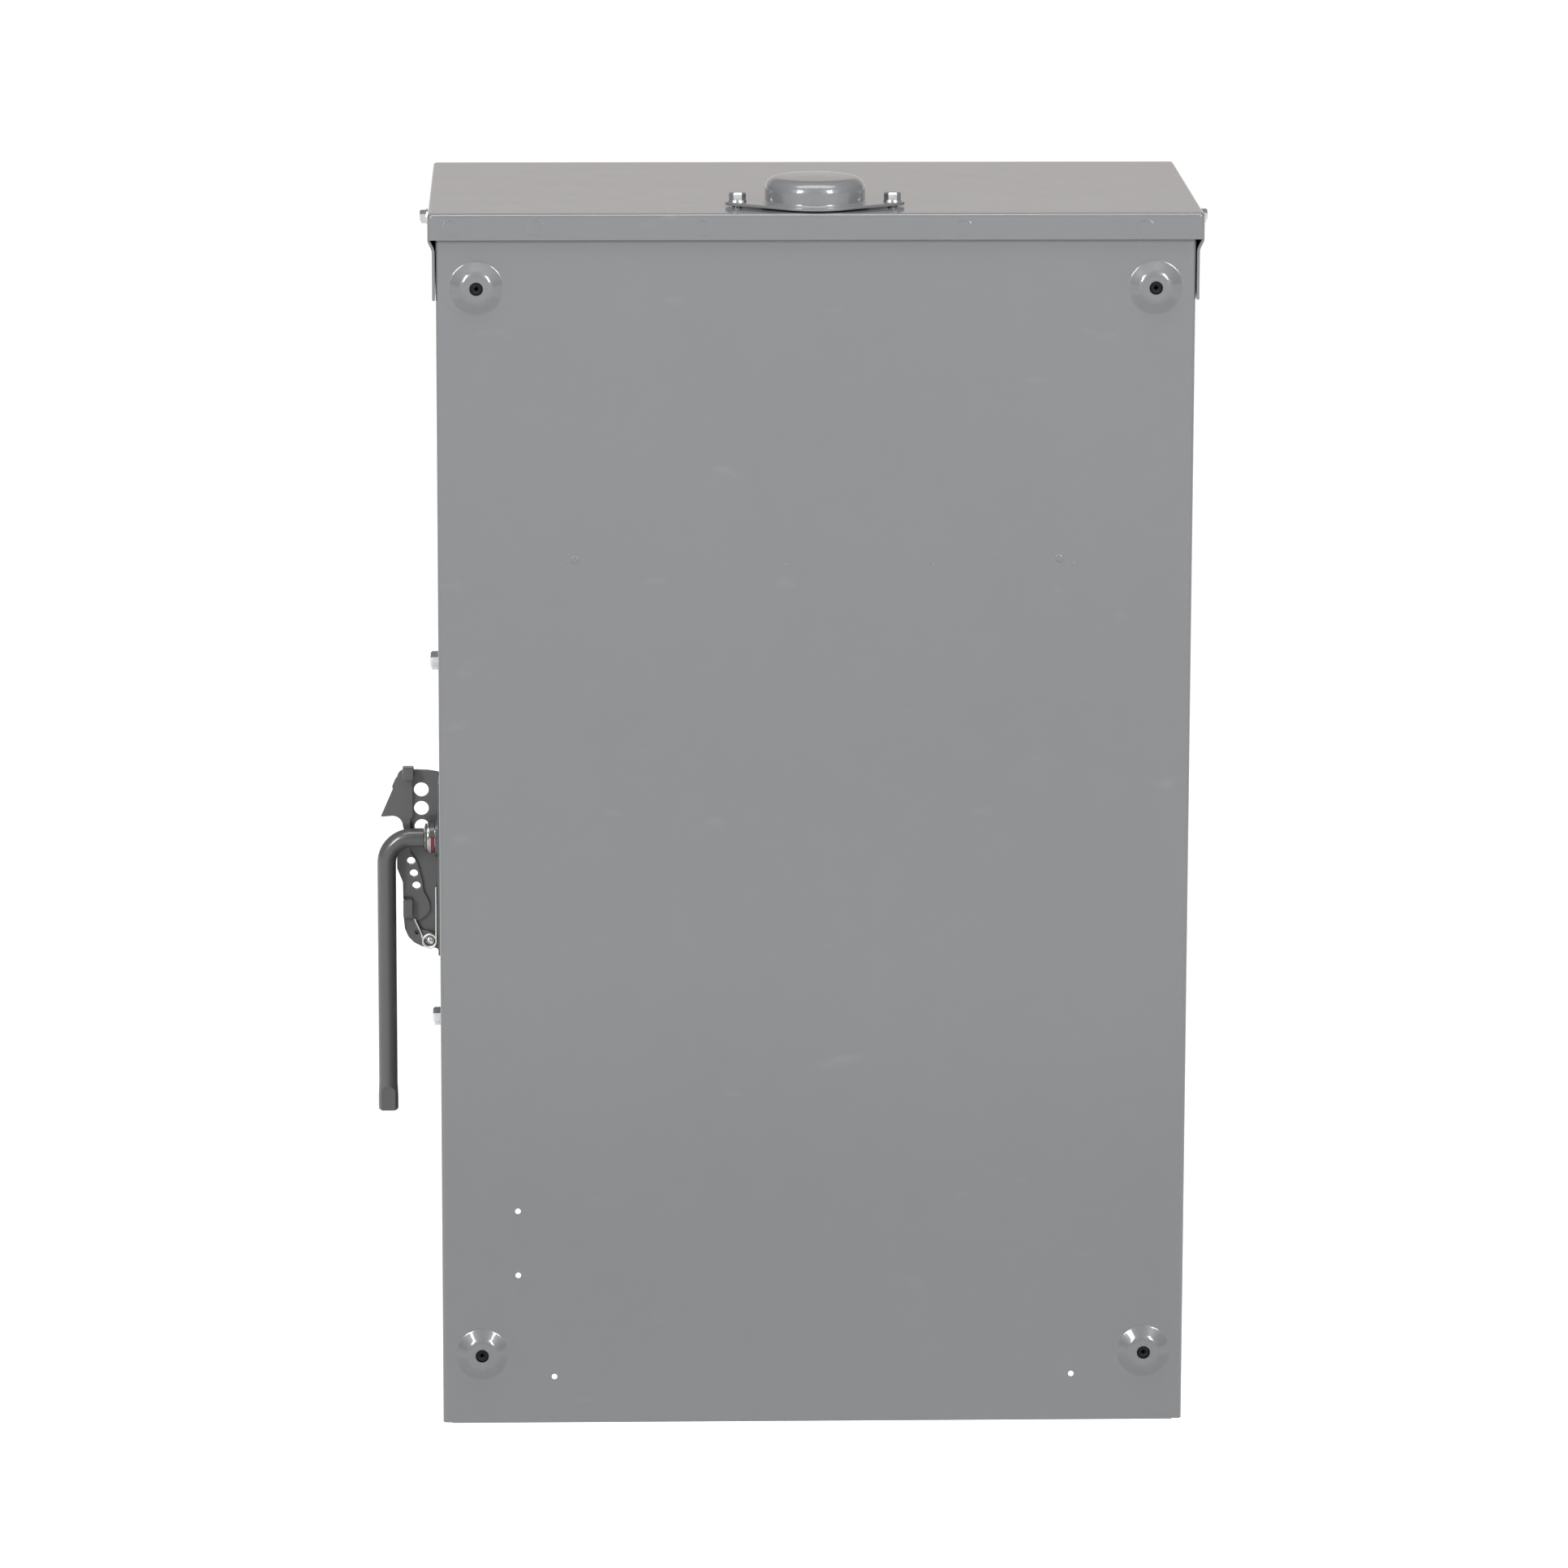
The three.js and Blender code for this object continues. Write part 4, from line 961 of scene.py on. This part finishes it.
hex_screws, domes, plates = hex_screw_tree(), dome_tree(), plate_tree()
facing = {
    "+x": (0.0, quarter, 0.0),
    "-x": (0.0, -quarter, 0.0),
    "+y": (-quarter, 0.0, 0.0),
    "-y": (quarter, 0.0, 0.0),
    "+z": (0.0, 0.0, 0.0),
}


def grown(name, tree, points, edges=(), **inputs):
    """An object whose mesh is what the tree makes of points and edges."""
    mesh = bpy.data.meshes.new(name)
    mesh.from_pydata([Vector(point) * MM for point in points], edges, [])
    piece = add_object(name, mesh)
    modifier = piece.modifiers.new("tree", "NODES")
    modifier.node_group = tree.tree
    for label, value in inputs.items():
        modifier[tree.identifiers[label]] = value
    apply_modifiers(piece)
    piece.data.shade_smooth()
    return piece


def repeat(name, tree, way, slot, points, *nodes, **sizes):
    """A piece of the case made of copies of the tree's shape, all facing the same way."""
    sizes = {label: value * MM for label, value in sizes.items()}
    piece = grown(name, tree, points, Turn=facing[way], **sizes)
    piece.data.set_sharp_from_angle(angle=math.radians(32))
    return hand_over(piece, "case", slot, *nodes)


# %% Outside screws and bolts
def hex_heads(name, way, points, sizes, *nodes):
    """Zinc-plated screws: across flats, head, across flange, washer, shank radius, length."""
    flats, head, flange, *rest = sizes
    sizes = dict(zip(screw_sizes, (flats / math.sqrt(3), head, flange / 2, *rest)))
    return repeat(name, hex_screws, way, "zinc_plate", points, *nodes, **sizes)


def outside_screws():
    points = [(side * hub_screw_x, hub_y, hub_low.z + cap_sheet + 0.1) for side in (-1, 1)]
    sizes = (9.53, 4.8, 12.4, 1.2, 3.0, 13.0)
    hex_heads("cap_screws", "+z", points, sizes, "hub_screw_right", "hub_screw_left")
    sizes = (7.94, 4.2, 10.5, 1.2, 2.4, 13.0)
    for side, way, word in ((1, "+x", "right"), (-1, "-x", "left")):
        place = [(side * (hood_high.x + 0.1), hood_screw_y, hood_screw_z)]
        hex_heads(f"hood_side_screw_{word}", way, place, sizes, f"hood_screw_{word}")
    places = [(half_width + 0.1, axis.y, z) for z in side_bolt_heights]
    sizes = (11.11, 5.6, 12.2, 1.2, 3.0, 12.0)
    hex_heads("frame_bolts", "+x", places, sizes, "side_bolt_upper", "side_bolt_lower")


outside_screws()

# %% [markdown]
# ### Small marks of the workshop
# Spot welds leave low bumps along the hood's rear flange. Two clinched studs end flush in the
# back panel, two weld dimples sit beside them, and nylon plugs close the four spare holes. A
# strip of seal lies in the seam between the back and the bottom.


# %% Welds, studs and plugs
def workshop_marks():
    weld_x = [half_width - 10.0, 182.4, 73.4, -95.5, -half_width + 33.7]
    points = [(x, hood_high.y - 0.1, hood_top - 9.5) for x in weld_x]
    repeat("spot_welds", domes, "+y", "grey_paint", points, Radius=6.0, Height=0.4)
    stud_z = 179.9
    studs = [(157.6, back_y, stud_z), (-160.0, back_y, stud_z)]
    repeat("stud_ends", domes, "+y", "grey_paint", studs, Radius=2.6, Height=0.55)
    faint = [(x, back_y, stud_z - 3.9) for x in (168.0, 19.6, -76.8, -169.1)]
    repeat("weld_spots", domes, "+y", "grey_paint", faint, Radius=1.6, Height=0.18)
    holes = [(x, back_y + 0.05, z) for x, z in spare_holes]
    repeat("hole_plugs", domes, "+y", "white_plastic", holes, Radius=1.9, Height=0.35)
    seam = [(0.0, back_y - sheet - 2.1, bottom_z + 1.2)]
    repeat("seam_seal", plates, "+z", "rubber", seam, Wide=480.0, Deep=3.8, Thick=1.6)


workshop_marks()

# %% [markdown]
# ## Springs
# A spring is a wire along a helix. The path is worked out by a formula, and a Geometry Nodes tree
# turns it into a curve and draws a circle along it. The lock spring's coil sits on the rivet, one
# arm rests on the plate's flange and the other on the lever.


# %% Wire tree
def wire_tree():
    tree = Repeat("wire", ["Radius"])
    curve = tree.node("GeometryNodeMeshToCurve", {"Mesh": tree.size("Geometry")})
    section = {"Resolution": 14, "Radius": tree.size("Radius")}
    ring = tree.node("GeometryNodeCurvePrimitiveCircle", section, output="Curve")
    sockets = {"Curve": curve, "Profile Curve": ring, "Fill Caps": True}
    return tree.close(tree.node("GeometryNodeCurveToMesh", sockets))


wires = wire_tree()


def wire(name, path, radius):
    edges = [(i, i + 1) for i in range(len(path) - 1)]
    return grown(name, wires, path, edges, Radius=radius * MM)


# %% Lock spring, its rivet and the drive spring
def lock_spring():
    radius, coil, turns, per_turn = 0.72, 4.5, 2.5, 32
    x, z = on_side(*rivet)
    first = lever_rear + 0.3 + radius
    pitch = 2 * radius + 0.18
    start, bend = on_side(19.3, -57.6), on_side(14.6, -68.2)
    path = [(start[0], first, start[1]), (bend[0], first, bend[1])]
    coils = arc(coil, 0.0, -2 * math.pi * turns, int(turns * per_turn), (x, z))
    path += [(a, first + pitch * i / per_turn, b) for i, (a, b) in enumerate(coils)]
    depth = first + pitch * turns
    path += [(x - coil, depth, axis.z + up) for up in (-66.0, -52.0, -35.0)]
    spring = wire("torsion_spring", path, radius)
    spring.data.materials.append(spring_wire)
    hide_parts("lock_spring")
    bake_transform(spring)
    head = [(0, 3.0), (1.2, 2.85), (2.3, 2.3), (3.2, 1.2), (3.3, 0.3), (2.2, 0.3)]
    tail = plate_rear - plate_thick - lever_rear
    head += [(2.2, tail - 0.3), (4.0, tail - 0.3), (3.8, tail - 1.5), (0, tail - 1.8)]
    pin = turned("lever_rivet", "y", Vector((x, lever_rear, z)), head, 32, edge=0)
    hand_over(pin, "case", "zinc_plate", "lock_rivet")


def indicator_strip():
    """A pale strip along the lower edge of the red indicator, and a dark shield over its top."""
    low, high = box_of("position_indicator")
    ends = math.radians(14.0), math.radians(148.0)
    inner, outer, centre = 10.3, 10.9, (axis.y, axis.z)
    section = [(low.x + 0.05, inner), (high.x - 0.1, inner), (high.x - 0.1, outer), (low.x, outer)]
    bm = bmesh.new()
    loops = []
    for x, reach in section:
        loops.append(add_loop(bm, [(x, y, z) for y, z in arc(reach, *ends, 20, centre)]))
    strip(bm, [*loops, loops[0]], closed=False)
    bm.faces.new([loop[0] for loop in loops])
    bm.faces.new([loop[-1] for loop in loops])
    shield = finish_mesh(bm, "indicator_shield")
    hand_over(shield, "case", "dark_grey_paint")
    lower = arc(10.0, math.radians(-100.0), math.radians(10.0), 24, centre)
    line = wire("indicator_strip", [(high.x - 0.45, y, z) for y, z in lower], 0.35)
    hand_over(line, "case", "white_plastic")


def drive_spring():
    low, high = box_of("drive_spring")
    radius, coil, turns, per_turn = 1.7, 12.0, 5, 28
    steps = turns * per_turn
    foot = low.z + radius + 0.1
    rise = high.z - low.z - 2 * radius - 0.2
    coils = arc(coil, 0.0, 2 * math.pi * turns, steps, (centre_of("drive_spring").x, axis.y))
    path = [(x, y, foot + rise * i / steps) for i, (x, y) in enumerate(coils)]
    spring = wire("coil_spring", path, radius)
    hand_over(spring, "case", "zinc_plate", "drive_spring", material=spring_wire)


lock_spring()
drive_spring()
indicator_strip()

# %% [markdown]
# ## Folded and cut parts inside
# The remaining parts have the right shape already, but their edges are perfectly sharp. A copy of
# each is welded, freed of the triangles on its flat faces, and given small broken edges, which is
# what catches the light on a real part.

# %% Broken edges on the remaining parts
slot_of = {part["node"]: part["material_slot"] for part in frame["record"]["subparts"]}
body_of = {n: body for body, ns in frame["record"]["behaviour"]["bodies"].items() for n in ns}
edge_of = {"copper": 0.5, "insulator": 0.7, "arc_board": 0.4, "aluminium": 0.6}


def refined(node):
    bm = bmesh.new()
    bm.from_mesh(frame["nodes"][node].data)
    bmesh.ops.scale(bm, vec=(1 / MM,) * 3, verts=bm.verts)
    bmesh.ops.remove_doubles(bm, verts=bm.verts, dist=0.002)
    edges = list(bm.edges)
    bmesh.ops.dissolve_limit(bm, angle_limit=math.radians(1), verts=bm.verts, edges=edges)
    slot = slot_of[node]
    piece = finish_mesh(bm, f"{node}_eased", edge=edge_of.get(slot, 0.35))
    return hand_over(piece, body_of[node], slot, node)


remaining = [name for name, part in frame["nodes"].items() if not part.hide_render]
for node in remaining:
    refined(node)
print(len(remaining), "parts eased:", ", ".join(sorted(remaining)))

# %% [markdown]
# ## Small hardware inside
# The terminals are bolted to the bases, the lugs have a set screw each, and the bars carry a row
# of screws. Steel plates stand in the arc chutes' slots, where they split and cool the arc.


# %% Screws on the switch and the bars
def inside_hardware():
    poles = (1, 2, 3)
    lugs = [f"{side}_lug_{pole}" for side in ("line", "load") for pole in poles]
    places = [(centre_of(lug).x, box_of(lug)[0].y + 5.0, centre_of(lug).z) for lug in lugs]
    hex_heads("lug_screws", "-y", places, (9.5, 4.0, 11.4, 3.0, 5.4, 9.0))
    from_end = 52.8
    bolts = []
    for side in ("line", "load"):
        for pole in poles:
            terminal = f"{side}_terminal_{pole}"
            low, high = box_of(terminal)
            z = high.z - from_end if side == "line" else low.z + from_end
            bolts.append((centre_of(terminal).x, high.y - 3.9, z))
    hex_heads("terminal_bolts", "-y", bolts, (8.0, 3.6, 10.0, 1.0, 2.0, 3.0))
    for bar in ("ground_bar", "neutral_bar"):
        low, high = box_of(bar)
        count, margin = 7, 9.0
        step = (high.x - low.x - 2 * margin) / (count - 1)
        row = [(low.x + margin + step * i, low.y, centre_of(bar).z) for i in range(count)]
        hex_heads(f"{bar}_screws", "-y", row, (6.0, 2.2, 7.0, 0.6, 2.0, 4.0))


def arc_plates():
    fins, spacing = 5, 42.0
    points = []
    for pole in (1, 2, 3):
        low, high = box_of(f"arc_chute_{pole}")
        x = (low.x + high.x) / 2
        for fin in range(1, fins + 1):
            z = low.z + (high.z - low.z) * fin / (fins + 1)
            points += [(x + hand * spacing / 2, low.y + 7.6, z) for hand in (-1, 1)]
    sizes = {"Wide": 15.0, "Deep": 12.0, "Thick": 1.6}
    repeat("arc_plates", plates, "+z", "galvanized_steel", points, **sizes)


inside_hardware()
arc_plates()

# %% [markdown]
# ## A blank name plate on the door
# Such a door carries a name plate. It is left blank here: a thin label with round corners.


# %% Name plate
def name_plate():
    face = box_of("door")[0].y
    bm = bmesh.new()
    outline = eased(rectangle((-62.0, 62.0), (150.0, 222.0)), reach=5.0)
    flat_face(bm, lambda a, b: Vector((a, face - 0.45, b)), outline)
    outward = ((0.0, face, 186.0), (0.0, -1.0, 0.0))
    plate = finish_mesh(bm, "blank_name_plate", 0.4, outward=outward)
    return hand_over(plate, "door", "white_plastic", material=label_paper)


name_plate()

# %% [markdown]
# ## Floor, light and camera
# The studio is plain: a pale floor well below the hanging cabinet, a white surround, and two tall
# soft boxes high on both sides of the camera. They draw the pairs of highlights on the bosses and
# on the cap. A dim white card behind the hood gives its top the pale sheen of a grazing view.


# %% Studio
def pale_floor():
    level = cad_low.z - 0.9
    mesh = bpy.data.meshes.new("floor")
    reach = (-150.0, 150.0)
    corners = [(x, y, level) for x, y in rectangle(reach, reach)]
    mesh.from_pydata(corners, [], [(0, 1, 2, 3)])
    floor = add_object("floor", mesh)
    pale = Finish("pale_floor", 0.9)
    tone = pale.noise(0.8, 2.0)
    pale.drive("Base Color", pale.mix(tone, grey(0.78), grey(0.82)))
    centre = {0: pale.place, 1: (0.0, 1.6, level)}
    away = pale.node("ShaderNodeVectorMath", centre, "Value", operation="DISTANCE")
    # Painted light: the floor glows, dimly near the cabinet and brightly far off, so the far floor reads as a
    # white backdrop and the near floor adds glow from below.
    pale.drive("Emission Color", pale.mix(away.above(2.9, 0.9), grey(0.10), grey(0.86)))
    pale.shader.inputs["Emission Strength"].default_value = 1.0
    mesh.materials.append(pale.material)


def soft_box(name, azimuth, elevation, distance, size, power, tint=(1.0, 1.0, 1.0)):
    """An area light that faces the object. Azimuth is measured from +Y, where the camera is."""
    data = bpy.data.lights.new(name, "AREA")
    data.shape, data.size, data.size_y = "RECTANGLE", *size
    data.energy, data.color = power, tint
    lamp = add_object(name, data)
    turn, lift = math.radians(azimuth), math.radians(elevation)
    flat = distance * math.cos(lift)
    lamp.location = (flat * math.sin(turn), flat * math.cos(turn), distance * math.sin(lift))
    lamp.rotation_euler = (-lamp.location).to_track_quat("-Z", "Y").to_euler()


def white_surround(strength):
    world = bpy.data.worlds.new("surround")
    world.use_nodes = True
    background = world.node_tree.nodes["Background"].inputs
    background["Color"].default_value = grey(1.0)
    background["Strength"].default_value = strength
    bpy.context.scene.world = world


def camera():
    data = bpy.data.cameras.new("camera")
    data.lens, data.sensor_width = 180.28, 36.0
    data.clip_end = 500.0
    eye = add_object("camera", data)
    eye.location = (0.17058, 5.0612, 1.087)
    eye.rotation_euler = [math.radians(a) for a in (78.2147, -0.1325, 178.3286)]
    bpy.context.scene.camera = eye


pale_floor()
soft_box("left_box", 38.5, 27.0, 4.2, (0.8, 1.7), 112.0)
soft_box("right_box", -34.5, 27.0, 4.2, (0.8, 1.7), 112.0)
soft_box("overhead", 0.0, 76.0, 2.4, (2.4, 0.9), 34.0)
soft_box("rear_card", 180.0, 16.0, 4.2, (6.0, 1.8), 11.5, (1.0, 0.92, 0.86))
white_surround(0.27)
camera()
bpy.context.scene.view_settings.view_transform = "Standard"
